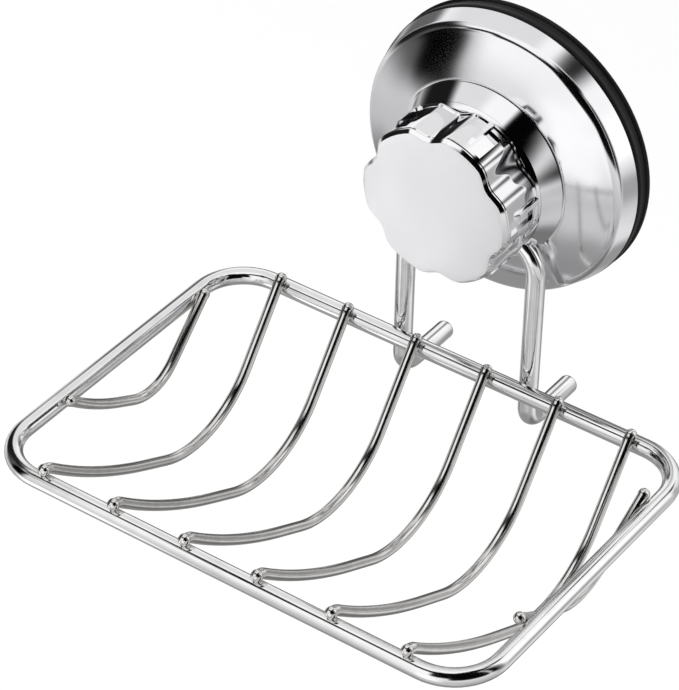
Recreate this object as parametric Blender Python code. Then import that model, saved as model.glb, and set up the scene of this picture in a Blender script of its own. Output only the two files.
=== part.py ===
# Suction soap dish: a wire soap basket that hangs on a screw-tightened suction cup.
# Metres. +Y points into the wall, +X to the right and +Z up, seen from the front.
# The origin is the centre of the cup's sealing face, which lies on the wall plane.
# "Out" is the distance from the wall, so a place that is out by d has y = -d.

import math

import bmesh
import bpy
from mathutils import Matrix, Vector

# Fits and meshing
FIT = 0.0003
OVERRUN = 0.002
MERGE = 0.000001
TURN_STEPS = 48
SMALL_STEPS = 24
BEND_STEP = math.radians(13)
SHARP_ANGLE = math.radians(32)

# Suction pad, soft rubber
PAD_RADIUS = 0.0375
PAD_BEVEL_WIDTH = 0.0038
PAD_BEVEL_DEPTH = 0.0035
PAD_RIM_DEPTH = 0.0070
PAD_LIP_WIDTH = 0.0019
PAD_SEAT_DEPTH = 0.0040
PAD_SEAT_WIDTH = 0.0050
PAD_SEAT_SLOPE = 0.0030
PAD_SKIN = 0.0023
PAD_POCKET_FLOOR = 0.0010
PAD_POCKET_WALL = 0.0022
PAD_BOSS_DEPTH = 0.0050

# Pad stud, steel
STUD_FOOT_RADIUS = 0.0080
STUD_FOOT_THICKNESS = 0.0015
STUD_HEX_FLATS = 0.0105
STUD_HEX_OUT = 0.0100
STUD_RADIUS = 0.0040
STUD_TRAVEL = 0.0031
STUD_TIP_CHAMFER = 0.0006
THREAD_PITCH = 0.0020
THREAD_DEPTH = 0.0005
THREAD_LENGTH = 0.0110
THREAD_RINGS_PER_TURN = 4

# Pressure frame, moulded plastic
FRAME_RING_HEIGHT = 0.0042
FRAME_WEB = 0.0020
FRAME_FOOT_ROOM = 0.0006
FRAME_SOCKET_DEPTH = 0.0095
FRAME_GUSSETS = 6
FRAME_GUSSET_WIDTH = 0.0018
FRAME_GUSSET_HEIGHT = 0.0030
FRAME_GUSSET_SINK = 0.0005

# Shell cover, thin pressed metal
SHELL_WALL = 0.0008
SHELL_REAR_INSET = 0.0004
SHELL_BAND_HEIGHT = 0.0052
SHELL_BAND_TAPER = 0.0014
SHELL_EDGE_ROUND = 0.0010
SHELL_DOME_RISE = 0.0039
SHELL_LAND_INSET = 0.0001
NECK_RADIUS = 0.0140
NECK_HEIGHT = 0.0051

# Neck collar, moulded plastic with a plated skin
COLLAR_ROOM = 0.0028
COLLAR_WALL = 0.0012
COLLAR_TAPER = 0.0028
COLLAR_SHOULDER_HEIGHT = 0.0044
COLLAR_FRONT_TAPER = 0.0008
COLLAR_PLATE = 0.0012
COLLAR_NOTCH_EASE = 0.0006
COLLAR_NOTCH_LENGTH = 0.0090

# Thrust washer
WASHER_RADIUS = 0.0090
WASHER_THICKNESS = 0.0008

# Knob body, plated plastic
KNOB_STEPS = 72
KNOB_LOBES = 6
KNOB_LOBE_ANGLE = math.radians(7)
KNOB_NOTCH_DEPTH = 0.0018
KNOB_NOTCH_HALF_ANGLE = math.radians(17)
KNOB_RADIUS = 0.0203
KNOB_LIP = 0.0004
KNOB_LIP_LENGTH = 0.0009
KNOB_HEIGHT = 0.0120
KNOB_FRONT_PLATE = 0.0022
KNOB_WALL = 0.0023
KNOB_BOSS_WALL = 0.0027
KNOB_POCKET_FLOOR = 0.0012
RIB_ANGLE = math.radians(10)
RIB_WIDTH = 0.0015
RIB_HEIGHT = 0.0009
RIB_ROOT = 0.0012
RIB_REAR_GAP = 0.0005
RIB_POINT_LENGTH = 0.0038
PANEL_ANGLE = math.radians(3.5)
PANEL_WIDTH = 0.0037
PANEL_DEPTH = 0.0007
PANEL_REAR_GAP = 0.0022
PANEL_FRONT_GAP = 0.0010

# Knob face, the flat front cap
FACE_INSET = 0.0001
FACE_THICKNESS = 0.0012
FACE_EDGE = 0.0002
FACE_BEVEL = 0.00055

# Nut insert, brass
NUT_FLATS = 0.0100
NUT_LENGTH = 0.0066

# Basket, welded wire
RAIL_WIRE_RADIUS = 0.00225
BASKET_WIRE_RADIUS = 0.00135
TIP_RADIUS = 0.0015
BASKET_LENGTH = 0.1350
BASKET_DEPTH = 0.0946
BASKET_CORNER_RADIUS = 0.0130
BASKET_DROP = 0.0536

# Cross wires, from the front rail down and back up to the rear rail
CROSS_WIRES = 6
CROSS_END_GAP = 0.01625
CROSS_FRONT_ANGLE = math.radians(39.5)
CROSS_FRONT_RUN = 0.0020
CROSS_EASE_RADIUS = 0.1670
CROSS_EASE_ANGLE = math.radians(26)
CROSS_FLOOR_RADIUS = 0.0254
CROSS_REAR_ANGLE = math.radians(54)
CROSS_REAR_TIP_ANGLE = math.radians(25)

# Side wires, a shallow V inside each end of the rim
SIDE_TIP_RISE = 0.0018
SIDE_FRONT_TIP = 0.0254
SIDE_REAR_TIP = 0.0165
SIDE_FRONT_ANGLE = math.radians(39)
SIDE_FRONT_RUN = 0.0015
SIDE_EASE_RADIUS = 0.0800
SIDE_EASE_ANGLE = math.radians(26)
SIDE_REAR_ANGLE = math.radians(38.5)
SIDE_FLOOR_RADIUS = 0.0150
SIDE_LEAN = math.radians(6)

# Hanger wire, one bent rod from wall stub to wall stub
HANGER_WIRE_RADIUS = 0.0024
HANGER_HALF_WIDTH = 0.0185
HANGER_HOOK_RADIUS = 0.0054
HANGER_STUB_DROP = 0.0132
HANGER_BEND_RADIUS = 0.0090
HANGER_RETURN_RADIUS = 0.0040
HANGER_RETURN_ANGLE = math.radians(56)

# Where each piece starts and ends, measured out from the wall
pad_seat_out = PAD_SEAT_DEPTH
foot_rear_out = PAD_POCKET_FLOOR + FIT
foot_front_out = foot_rear_out + STUD_FOOT_THICKNESS
frame_rear_out = pad_seat_out + FIT
web_rear_out = foot_front_out + STUD_TRAVEL + FRAME_FOOT_ROOM
shell_rear_out = PAD_RIM_DEPTH + FIT
band_top_out = shell_rear_out + SHELL_BAND_HEIGHT
land_out = band_top_out + SHELL_EDGE_ROUND + SHELL_DOME_RISE
neck_front_out = land_out + NECK_HEIGHT
collar_rear_out = land_out + FIT
plate_rear_out = neck_front_out + FIT
collar_front_out = plate_rear_out + COLLAR_PLATE
washer_rear_out = collar_front_out + FIT
washer_front_out = washer_rear_out + WASHER_THICKNESS
knob_rear_out = collar_front_out + FIT
boss_rear_out = washer_front_out + FIT
knob_front_out = knob_rear_out + KNOB_HEIGHT
nut_rear_out = boss_rear_out + KNOB_POCKET_FLOOR + FIT
nut_front_out = nut_rear_out + NUT_LENGTH
face_rear_out = knob_front_out + FIT
face_front_out = face_rear_out + FACE_THICKNESS
spigot_rear_out = nut_front_out + FIT
stud_tip_out = spigot_rear_out - FIT - STUD_TRAVEL
hanger_out = land_out + FIT + HANGER_WIRE_RADIUS
rail_rear_out = hanger_out + HANGER_WIRE_RADIUS + FIT + RAIL_WIRE_RADIUS
rail_front_out = rail_rear_out + BASKET_DEPTH

# Radii and gaps that follow from the pieces they fit
pad_lip_radius = PAD_RADIUS - PAD_LIP_WIDTH
pad_seat_radius = pad_lip_radius - PAD_SEAT_WIDTH
pocket_radius = STUD_FOOT_RADIUS + FIT
frame_radius = pad_lip_radius - FIT
shell_radius = PAD_RADIUS - SHELL_REAR_INSET
hub_radius = NECK_RADIUS - SHELL_WALL - FIT
stud_bore_radius = STUD_RADIUS + FIT
loop_radius = NECK_RADIUS + FIT + HANGER_WIRE_RADIUS
tip_distance = RAIL_WIRE_RADIUS + TIP_RADIUS + FIT
wrap_radius = RAIL_WIRE_RADIUS + BASKET_WIRE_RADIUS + FIT
cross_pitch = (BASKET_LENGTH - 2 * CROSS_END_GAP) / (CROSS_WIRES - 1)
collar_rear_radius = loop_radius + HANGER_WIRE_RADIUS + COLLAR_ROOM + COLLAR_WALL
knob_bore_radius = KNOB_RADIUS - KNOB_NOTCH_DEPTH - KNOB_WALL
knob_boss_radius = NUT_FLATS / 2 + FIT + KNOB_BOSS_WALL
face_radius = KNOB_RADIUS - FACE_INSET
spigot_radius = NUT_FLATS / 2

AXIS = Vector((0, 1, 0))
QUARTER = math.pi / 2
TURN = 2 * math.pi


# Finishes, one material for each


def finish(name, colour, roughness, metallic):
    """Return a Principled material with the given colour, roughness and metallic value."""
    material = bpy.data.materials.new(name)
    material.use_nodes = True
    shader = material.node_tree.nodes["Principled BSDF"]
    shader.inputs["Base Color"].default_value = (*colour, 1)
    shader.inputs["Roughness"].default_value = roughness
    shader.inputs["Metallic"].default_value = metallic
    material.diffuse_color = (*colour, 1)
    return material


def black_rubber():
    return finish("black_rubber", (0.020, 0.020, 0.022), 0.42, 0)


def zinc_steel():
    return finish("zinc_steel", (0.56, 0.57, 0.58), 0.34, 1)


def white_plastic():
    return finish("white_plastic", (0.80, 0.80, 0.78), 0.45, 0)


def chrome_sheet():
    return finish("chrome_sheet", (0.78, 0.78, 0.80), 0.06, 1)


def chrome_collar():
    return finish("chrome_collar", (0.77, 0.78, 0.79), 0.08, 1)


def chrome_knob():
    return finish("chrome_knob", (0.80, 0.80, 0.81), 0.07, 1)


def satin_cap():
    return finish("satin_cap", (0.86, 0.86, 0.87), 0.16, 1)


def brass():
    return finish("brass", (0.72, 0.53, 0.24), 0.30, 1)


def nylon():
    return finish("nylon", (0.70, 0.69, 0.64), 0.50, 0)


def steel_rod():
    return finish("steel_rod", (0.66, 0.66, 0.67), 0.12, 1)


def steel_rail():
    return finish("steel_rail", (0.64, 0.64, 0.65), 0.13, 1)


def steel_basket_wire():
    return finish("steel_basket_wire", (0.62, 0.62, 0.63), 0.15, 1)


# Modelling helpers


def clear_scene():
    """Remove whatever the opened file holds."""
    for obj in list(bpy.data.objects):
        bpy.data.objects.remove(obj)


def mesh_object(name, bm, material=None):
    """Turn a bmesh into a linked object with outward faces and smooth round sides."""
    bmesh.ops.remove_doubles(bm, verts=bm.verts, dist=MERGE)
    bmesh.ops.recalc_face_normals(bm, faces=bm.faces)
    mesh = bpy.data.meshes.new(name)
    bm.to_mesh(mesh)
    bm.free()
    mesh.shade_smooth()
    mesh.set_sharp_from_angle(angle=SHARP_ANGLE)
    if material:
        mesh.materials.append(material)
    obj = bpy.data.objects.new(name, mesh)
    bpy.context.scene.collection.objects.link(obj)
    return obj


def spun(outline, steps=TURN_STEPS, ring=False):
    """Spin an outline of (radius, out) points about the hub axis; a ring's outline is closed."""
    bm = bmesh.new()
    verts = [bm.verts.new((radius, -out, 0)) for radius, out in outline]
    edges = [bm.edges.new(pair) for pair in zip(verts, verts[1:])]
    if ring:
        edges.append(bm.edges.new((verts[-1], verts[0])))
    bmesh.ops.spin(bm, geom=verts + edges, cent=(0, 0, 0), axis=AXIS, angle=TURN,
                   steps=steps, use_merge=True)
    bmesh.ops.remove_doubles(bm, verts=bm.verts, dist=MERGE)
    return bm


def offset(outline, distance):
    """Return an open outline moved sideways by a wall thickness, with mitred corners."""
    normals = []
    for (r0, o0), (r1, o1) in zip(outline, outline[1:]):
        length = math.hypot(r1 - r0, o1 - o0)
        normals.append(Vector((-(o1 - o0) / length, (r1 - r0) / length)))
    moved = []
    for index, point in enumerate(outline):
        before = normals[max(index - 1, 0)]
        after = normals[min(index, len(normals) - 1)]
        mitre = (before + after).normalized()
        moved.append(Vector(point) + mitre * distance / mitre.dot(before))
    return [tuple(point) for point in moved]


def prism(sides, radius, rear_out, front_out):
    """Return a bar with a regular section round the hub axis, one flat facing up."""
    bm = bmesh.new()
    height = front_out - rear_out
    place = Matrix.Translation((0, -(rear_out + front_out) / 2, 0))
    turn = Matrix.Rotation(QUARTER, 4, "X") @ Matrix.Rotation(math.pi / sides, 4, "Z")
    bmesh.ops.create_cone(bm, cap_ends=True, segments=sides, radius1=radius, radius2=radius,
                          depth=height, matrix=place @ turn)
    return bm


def hex_radius(flats):
    """Corner radius of a hexagon from its size across flats."""
    return flats / 2 / math.cos(math.pi / 6)


def extruded(outline, width):
    """Extrude an outline of (radius, out) points sideways, centred on the plane z = 0."""
    bm = bmesh.new()
    face = bm.faces.new([bm.verts.new((radius, -out, -width / 2)) for radius, out in outline])
    grown = bmesh.ops.extrude_face_region(bm, geom=[face])
    moved = [item for item in grown["geom"] if isinstance(item, bmesh.types.BMVert)]
    bmesh.ops.translate(bm, verts=moved, vec=(0, 0, width))
    return bm


def polar_copies(bm, count, first_angle):
    """Replace a shape at angle 0 by copies spaced evenly round the hub axis."""
    turned = bmesh.new()
    shape = bpy.data.meshes.new("polar_shape")
    bm.to_mesh(shape)
    bm.free()
    for index in range(count):
        known = len(turned.verts)
        turned.from_mesh(shape)
        turned.verts.ensure_lookup_table()
        angle = first_angle + TURN * index / count
        bmesh.ops.rotate(turned, verts=turned.verts[known:], cent=(0, 0, 0),
                         matrix=Matrix.Rotation(-angle, 3, AXIS))
    bpy.data.meshes.remove(shape)
    return turned


def boolean(obj, name, bm, operation):
    """Add a Boolean to an object, with a hidden wire-drawn shape as its operand."""
    tool = mesh_object(name, bm)
    tool.hide_render = True
    tool.display_type = "WIRE"
    modifier = obj.modifiers.new(name, "BOOLEAN")
    modifier.operation = operation
    modifier.solver = "EXACT"
    modifier.object = tool


# Wire bending


class Route:
    """A wire's centreline in one plane, drawn as straight runs and round bends."""

    def __init__(self, across, up, heading):
        self.place = Vector((across, up))
        self.heading = heading
        self.points = [self.place.copy()]

    def run(self, length):
        """Go straight on."""
        self.place += length * Vector((math.cos(self.heading), math.sin(self.heading)))
        self.points.append(self.place.copy())
        return self

    def bend(self, angle, radius):
        """Turn on an arc: a positive angle turns left, a negative one right."""
        side = math.copysign(1, angle)
        steps = max(1, math.ceil(abs(angle) / BEND_STEP))
        start = self.heading
        centre = self.place + side * radius * Vector((-math.sin(start), math.cos(start)))
        for step in range(1, steps + 1):
            self.heading = start + angle * step / steps
            normal = Vector((-math.sin(self.heading), math.cos(self.heading)))
            self.place = centre - side * radius * normal
            self.points.append(self.place.copy())
        return self


def closing_runs(gap, first_heading, second_heading):
    """Lengths of two straight runs, with known headings, that together span a gap."""
    first = Vector((math.cos(first_heading), math.sin(first_heading)))
    second = Vector((math.cos(second_heading), math.sin(second_heading)))
    area = first.x * second.y - first.y * second.x
    return ((gap.x * second.y - gap.y * second.x) / area,
            (first.x * gap.y - first.y * gap.x) / area)


def round_end(centre, inward, ball_radius, wire_radius, steps=5):
    """Points and radii of a ball at a wire's end, from its tip to where the wire leaves it."""
    leave = math.pi - math.asin(wire_radius / ball_radius)
    first = leave / (steps + 1) / 2
    ring = []
    for step in range(steps + 1):
        angle = first + (leave - first) * step / steps
        ring.append((centre - inward * ball_radius * math.cos(angle), ball_radius * math.sin(angle)))
    return ring


def bent_wire(name, points, wire_radius, ball_radius, material, closed=False):
    """Make a round wire along points, as a closed ring or with a ball at each end."""
    stations = [(point, wire_radius) for point in points]
    if not closed:
        head = (points[1] - points[0]).normalized()
        tail = (points[-2] - points[-1]).normalized()
        start = round_end(points[0], head, ball_radius, wire_radius)
        finish_end = round_end(points[-1], tail, ball_radius, wire_radius)
        stations = start + stations[1:-1] + finish_end[::-1]
    curve = bpy.data.curves.new(name, "CURVE")
    curve.dimensions = "3D"
    curve.bevel_depth = wire_radius
    curve.bevel_resolution = 2 if wire_radius < RAIL_WIRE_RADIUS else 3
    curve.use_fill_caps = True
    spline = curve.splines.new("POLY")
    spline.points.add(len(stations) - 1)
    for knot, (point, radius) in zip(spline.points, stations):
        knot.co = (*point, 1)
        knot.radius = radius / wire_radius
    spline.use_cyclic_u = closed
    curve.materials.append(material)
    obj = bpy.data.objects.new(name, curve)
    bpy.context.scene.collection.objects.link(obj)
    return obj


# Suction cup


def make_pad(material):
    """Rubber pad: sealing face, bevelled rim, seat for the frame and an open foot pocket."""
    skin_radius = pad_seat_radius - PAD_SEAT_SLOPE
    boss_radius = pocket_radius + PAD_POCKET_WALL
    outline = [
        (0, 0),
        (PAD_RADIUS - PAD_BEVEL_WIDTH, 0),
        (PAD_RADIUS, PAD_BEVEL_DEPTH),
        (PAD_RADIUS, PAD_RIM_DEPTH),
        (pad_lip_radius, PAD_RIM_DEPTH),
        (pad_lip_radius, pad_seat_out),
        (pad_seat_radius, pad_seat_out),
        (skin_radius, PAD_SKIN),
        (boss_radius, PAD_SKIN),
        (boss_radius, PAD_BOSS_DEPTH),
        (pocket_radius, PAD_BOSS_DEPTH),
        (pocket_radius, PAD_POCKET_FLOOR),
        (0, PAD_POCKET_FLOOR),
    ]
    return mesh_object("suction_pad", spun(outline), material)


def groove_share(angle, out):
    """How deep the helical thread is at a place, from 0 on its crest to 1 in its root."""
    phase = ((stud_tip_out - out) / THREAD_PITCH + angle / TURN) % 1
    return 1 - abs(2 * phase - 1)


def make_stud(material):
    """Steel stud: disc foot, hexagonal guide and a shank with a helical thread."""
    thread_rear = stud_tip_out - THREAD_LENGTH
    tip_flat = stud_tip_out - STUD_TIP_CHAMFER
    rings = round(THREAD_LENGTH / THREAD_PITCH * THREAD_RINGS_PER_TURN)
    outline = [
        (0, foot_rear_out),
        (STUD_FOOT_RADIUS, foot_rear_out),
        (STUD_FOOT_RADIUS, foot_front_out),
        (STUD_RADIUS, foot_front_out),
    ]
    for ring in range(rings + 1):
        outline.append((STUD_RADIUS, thread_rear + (tip_flat - thread_rear) * ring / rings))
    outline += [(STUD_RADIUS - STUD_TIP_CHAMFER, stud_tip_out), (0, stud_tip_out)]
    bm = spun(outline, SMALL_STEPS)
    for vert in bm.verts:
        out = -vert.co.y
        radius = math.hypot(vert.co.x, vert.co.z)
        if thread_rear + MERGE < out < tip_flat - MERGE and radius > STUD_RADIUS - MERGE:
            share = 1 - groove_share(math.atan2(vert.co.z, vert.co.x), out) * THREAD_DEPTH / radius
            vert.co.x *= share
            vert.co.z *= share
    stud = mesh_object("pad_stud", bm, material)
    guide = prism(6, hex_radius(STUD_HEX_FLATS), foot_front_out - FIT, STUD_HEX_OUT)
    boolean(stud, "stud_guide", guide, "UNION")
    return stud


def make_frame(material):
    """Plastic frame: a ring that presses the pad's rim, a web and a hub with a hex socket."""
    ring_front = frame_rear_out + FRAME_RING_HEIGHT
    web_front = web_rear_out + FRAME_WEB
    outline = [
        (stud_bore_radius, web_rear_out),
        (pad_seat_radius, web_rear_out),
        (pad_seat_radius, frame_rear_out),
        (frame_radius, frame_rear_out),
        (frame_radius, max(ring_front, web_front)),
        (hub_radius, web_front),
        (hub_radius, neck_front_out),
        (stud_bore_radius, neck_front_out),
    ]
    frame = mesh_object("pressure_frame", spun(outline, ring=True), material)
    gusset = [
        (hub_radius - FRAME_GUSSET_SINK, web_front - FRAME_GUSSET_SINK),
        (pad_seat_radius, web_front - FRAME_GUSSET_SINK),
        (hub_radius - FRAME_GUSSET_SINK, web_front + FRAME_GUSSET_HEIGHT),
    ]
    gussets = polar_copies(extruded(gusset, FRAME_GUSSET_WIDTH), FRAME_GUSSETS, 0)
    boolean(frame, "frame_gussets", gussets, "UNION")
    socket = prism(6, hex_radius(STUD_HEX_FLATS + 2 * FIT), web_rear_out - OVERRUN,
                   web_rear_out + FRAME_SOCKET_DEPTH)
    boolean(frame, "hex_socket", socket, "DIFFERENCE")
    return frame


def shell_outline():
    """Outer line of the shell, from its rear edge over the dome to the end of its neck."""
    band_radius = shell_radius - SHELL_BAND_TAPER
    dome_radius = band_radius - SHELL_EDGE_ROUND
    edge_out = band_top_out + SHELL_EDGE_ROUND
    middle_share = math.sin(math.pi / 4)
    return [
        (shell_radius, shell_rear_out),
        (band_radius, band_top_out),
        (dome_radius + SHELL_EDGE_ROUND * middle_share, band_top_out + SHELL_EDGE_ROUND * middle_share),
        (dome_radius, edge_out),
        (collar_rear_radius - SHELL_LAND_INSET, land_out),
        (NECK_RADIUS, land_out),
        (NECK_RADIUS, neck_front_out),
    ]


def make_shell(material):
    """Thin cover: tapered band, conical dome, flat land for the hanger loop and a neck."""
    outer = shell_outline()
    inner = offset(outer, SHELL_WALL)
    inner[0] = (inner[0][0], shell_rear_out)
    inner[-1] = (inner[-1][0], neck_front_out)
    return mesh_object("shell_cover", spun(outer + inner[::-1], ring=True), material)


def make_collar(material):
    """Collar over the hanger loop: a tapered wall, a front plate and two notches for the legs."""
    shoulder_out = collar_rear_out + COLLAR_SHOULDER_HEIGHT
    shoulder_radius = collar_rear_radius - COLLAR_TAPER
    slope = COLLAR_TAPER / COLLAR_SHOULDER_HEIGHT
    room_radius = collar_rear_radius - COLLAR_WALL
    plate_room_radius = room_radius - slope * (plate_rear_out - collar_rear_out)
    outline = [
        (room_radius, collar_rear_out),
        (collar_rear_radius, collar_rear_out),
        (shoulder_radius, shoulder_out),
        (shoulder_radius - COLLAR_FRONT_TAPER, collar_front_out),
        (stud_bore_radius, collar_front_out),
        (stud_bore_radius, plate_rear_out),
        (plate_room_radius, plate_rear_out),
    ]
    collar = mesh_object("neck_collar", spun(outline, ring=True), material)
    half_width = HANGER_WIRE_RADIUS + COLLAR_NOTCH_EASE
    crossing = hanger_crossing()
    for side, name in ((-1, "left_notch"), (1, "right_notch")):
        centre = Vector((side * crossing.x, -(collar_rear_out + plate_rear_out) / 2, crossing.y))
        turn = Matrix.Rotation(-side * (QUARTER + hanger_bend_angle()), 4, "Y")
        depth = plate_rear_out - collar_rear_out + OVERRUN
        size = Matrix.Diagonal((COLLAR_NOTCH_LENGTH, depth, 2 * half_width, 1))
        shift = Matrix.Translation((0, OVERRUN / 2, 0))
        notch = bmesh.new()
        bmesh.ops.create_cube(notch, size=1, matrix=Matrix.Translation(centre) @ shift @ turn @ size)
        boolean(collar, name, notch, "DIFFERENCE")
    return collar


def make_washer(material):
    """Slip washer between the collar and the knob's boss."""
    outline = [
        (stud_bore_radius, washer_rear_out),
        (WASHER_RADIUS, washer_rear_out),
        (WASHER_RADIUS, washer_front_out),
        (stud_bore_radius, washer_front_out),
    ]
    return mesh_object("thrust_washer", spun(outline, SMALL_STEPS, ring=True), material)


# Knob


def notch_share(angle):
    """How deep the grip notch is at an angle round the knob, from 0 on a lobe to 1 in a notch."""
    spacing = TURN / KNOB_LOBES
    from_notch = (angle - KNOB_LOBE_ANGLE) % spacing - spacing / 2
    reach = abs(from_notch) / KNOB_NOTCH_HALF_ANGLE
    return (1 + math.cos(math.pi * reach)) / 2 if reach < 1 else 0


def press_notches(bm, skin_radius):
    """Push the skin outside a radius inward at the six grip notches."""
    for vert in bm.verts:
        radius = math.hypot(vert.co.x, vert.co.z)
        if radius > skin_radius:
            angle = math.atan2(vert.co.z, vert.co.x)
            share = 1 - notch_share(angle) * KNOB_NOTCH_DEPTH / radius
            vert.co.x *= share
            vert.co.z *= share


def make_knob(material):
    """Knob body: lobed wall, front plate and a boss with a hexagonal pocket for the nut."""
    plate_rear = knob_front_out - KNOB_FRONT_PLATE
    lip_radius = KNOB_RADIUS + KNOB_LIP
    outline = [
        (stud_bore_radius, boss_rear_out),
        (knob_boss_radius, boss_rear_out),
        (knob_boss_radius, plate_rear),
        (knob_bore_radius, plate_rear),
        (knob_bore_radius, knob_rear_out),
        (lip_radius, knob_rear_out),
        (lip_radius, knob_rear_out + KNOB_LIP_LENGTH),
        (KNOB_RADIUS, knob_rear_out + KNOB_LIP_LENGTH),
        (KNOB_RADIUS, knob_front_out),
        (stud_bore_radius, knob_front_out),
    ]
    bm = spun(outline, KNOB_STEPS, ring=True)
    press_notches(bm, knob_bore_radius + KNOB_WALL / 2)
    knob = mesh_object("knob_body", bm, material)
    boolean(knob, "knob_ribs", rib_shapes(), "UNION")
    boolean(knob, "knob_panels", panel_shapes(), "DIFFERENCE")
    pocket = prism(6, hex_radius(NUT_FLATS + 2 * FIT), boss_rear_out + KNOB_POCKET_FLOOR,
                   knob_front_out + OVERRUN)
    boolean(knob, "nut_pocket", pocket, "DIFFERENCE")
    return knob


def rib_shapes():
    """Six raised ribs near the lobes' crests, pointed towards the front."""
    rear = knob_rear_out + RIB_REAR_GAP
    root = KNOB_RADIUS - RIB_ROOT
    top = KNOB_RADIUS + RIB_HEIGHT
    outline = [
        (root, rear),
        (top, rear),
        (top, knob_front_out - RIB_POINT_LENGTH),
        (root, knob_front_out - FIT),
    ]
    return polar_copies(extruded(outline, RIB_WIDTH), KNOB_LOBES, RIB_ANGLE)


def panel_shapes():
    """Six shallow flat panels, each on the clockwise side of a rib."""
    floor = KNOB_RADIUS - PANEL_DEPTH
    rear = knob_rear_out + PANEL_REAR_GAP
    front = knob_front_out - PANEL_FRONT_GAP
    outline = [(floor, rear), (floor + OVERRUN, rear), (floor + OVERRUN, front), (floor, front)]
    return polar_copies(extruded(outline, PANEL_WIDTH), KNOB_LOBES, PANEL_ANGLE)


def make_face(material):
    """Flat lobed cap with a bevelled rim, and a spigot that plugs the nut pocket."""
    outline = [
        (0, spigot_rear_out),
        (spigot_radius, spigot_rear_out),
        (spigot_radius, face_rear_out),
        (face_radius, face_rear_out),
        (face_radius, face_rear_out + FACE_EDGE),
        (face_radius - FACE_BEVEL, face_front_out),
        (0, face_front_out),
    ]
    bm = spun(outline, KNOB_STEPS)
    press_notches(bm, (spigot_radius + face_radius) / 2)
    return mesh_object("knob_face", bm, material)


def make_nut(material):
    """Hexagonal brass nut; its bore clears the thread's crests."""
    nut = mesh_object("nut_insert", prism(6, hex_radius(NUT_FLATS), nut_rear_out, nut_front_out), material)
    bore = prism(SMALL_STEPS, stud_bore_radius, nut_rear_out - OVERRUN, nut_front_out + OVERRUN)
    boolean(nut, "nut_bore", bore, "DIFFERENCE")
    return nut


# Hanger and basket


def hanger_return_centre():
    """Centre of the bend that leads a leg back round the neck, in the plane across the wall."""
    reach = loop_radius + HANGER_RETURN_RADIUS
    return reach * Vector((math.sin(HANGER_RETURN_ANGLE), -math.cos(HANGER_RETURN_ANGLE)))


def hanger_bend_angle():
    """How far a leg leans inward before its bend reverses."""
    across = hanger_return_centre().x - HANGER_HALF_WIDTH + HANGER_BEND_RADIUS
    return math.acos(across / (HANGER_BEND_RADIUS + HANGER_RETURN_RADIUS))


def hanger_crossing():
    """Where a leg crosses the collar's wall, which is where its bend reverses."""
    lean = Vector((math.cos(hanger_bend_angle()), math.sin(hanger_bend_angle())))
    return hanger_return_centre() - HANGER_RETURN_RADIUS * lean


def make_hanger(material):
    """Rod from wall stub, up a leg, round the neck, down the other leg to its wall stub."""
    stub_up = -BASKET_DROP - HANGER_STUB_DROP
    hook = Route(HANGER_WIRE_RADIUS, stub_up, 0)
    hook.run(hanger_out - HANGER_WIRE_RADIUS - HANGER_HOOK_RADIUS)
    hook.bend(QUARTER, HANGER_HOOK_RADIUS)
    centre = hanger_return_centre()
    tangent = math.atan2(centre.y, centre.x)
    lean = hanger_bend_angle()
    bend_up = centre.y - (HANGER_BEND_RADIUS + HANGER_RETURN_RADIUS) * math.sin(lean)
    leg = Route(HANGER_HALF_WIDTH, hook.place.y, QUARTER)
    leg.run(bend_up - hook.place.y)
    leg.bend(lean, HANGER_BEND_RADIUS)
    leg.bend(tangent - lean, HANGER_RETURN_RADIUS)
    leg.bend(QUARTER - tangent, loop_radius)
    half = [Vector((HANGER_HALF_WIDTH, -out, up)) for out, up in hook.points]
    half += [Vector((across, -hanger_out, up)) for across, up in leg.points[1:]]
    mirrored = [Vector((-point.x, point.y, point.z)) for point in half[-2::-1]]
    return bent_wire("hanger_wire", half + mirrored, HANGER_WIRE_RADIUS, HANGER_WIRE_RADIUS, material)


def make_rail(material):
    """Closed rim of the basket, a rounded rectangle of thick wire."""
    route = Route(-BASKET_LENGTH / 2 + BASKET_CORNER_RADIUS, -rail_front_out, 0)
    for side in (BASKET_LENGTH, BASKET_DEPTH, BASKET_LENGTH, BASKET_DEPTH):
        route.run(side - 2 * BASKET_CORNER_RADIUS)
        route.bend(QUARTER, BASKET_CORNER_RADIUS)
    points = [Vector((across, along, -BASKET_DROP)) for across, along in route.points[:-1]]
    return bent_wire("rim_rail", points, RAIL_WIRE_RADIUS, RAIL_WIRE_RADIUS, material, closed=True)


def cross_route(middle_run, rear_run):
    """Centreline of a cross wire, from the front tip (0, tip height) towards the wall."""
    leave = math.acos(wrap_radius / tip_distance)
    off_tip = math.sqrt(tip_distance ** 2 - wrap_radius ** 2)
    route = Route(0, tip_distance, -leave).run(off_tip)
    route.bend(leave - CROSS_FRONT_ANGLE, wrap_radius).run(CROSS_FRONT_RUN)
    route.bend(CROSS_FRONT_ANGLE - CROSS_EASE_ANGLE, CROSS_EASE_RADIUS).run(middle_run)
    route.bend(CROSS_EASE_ANGLE + CROSS_REAR_ANGLE, CROSS_FLOOR_RADIUS).run(rear_run)
    return route.bend(leave + CROSS_REAR_TIP_ANGLE - CROSS_REAR_ANGLE, wrap_radius).run(off_tip)


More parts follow.
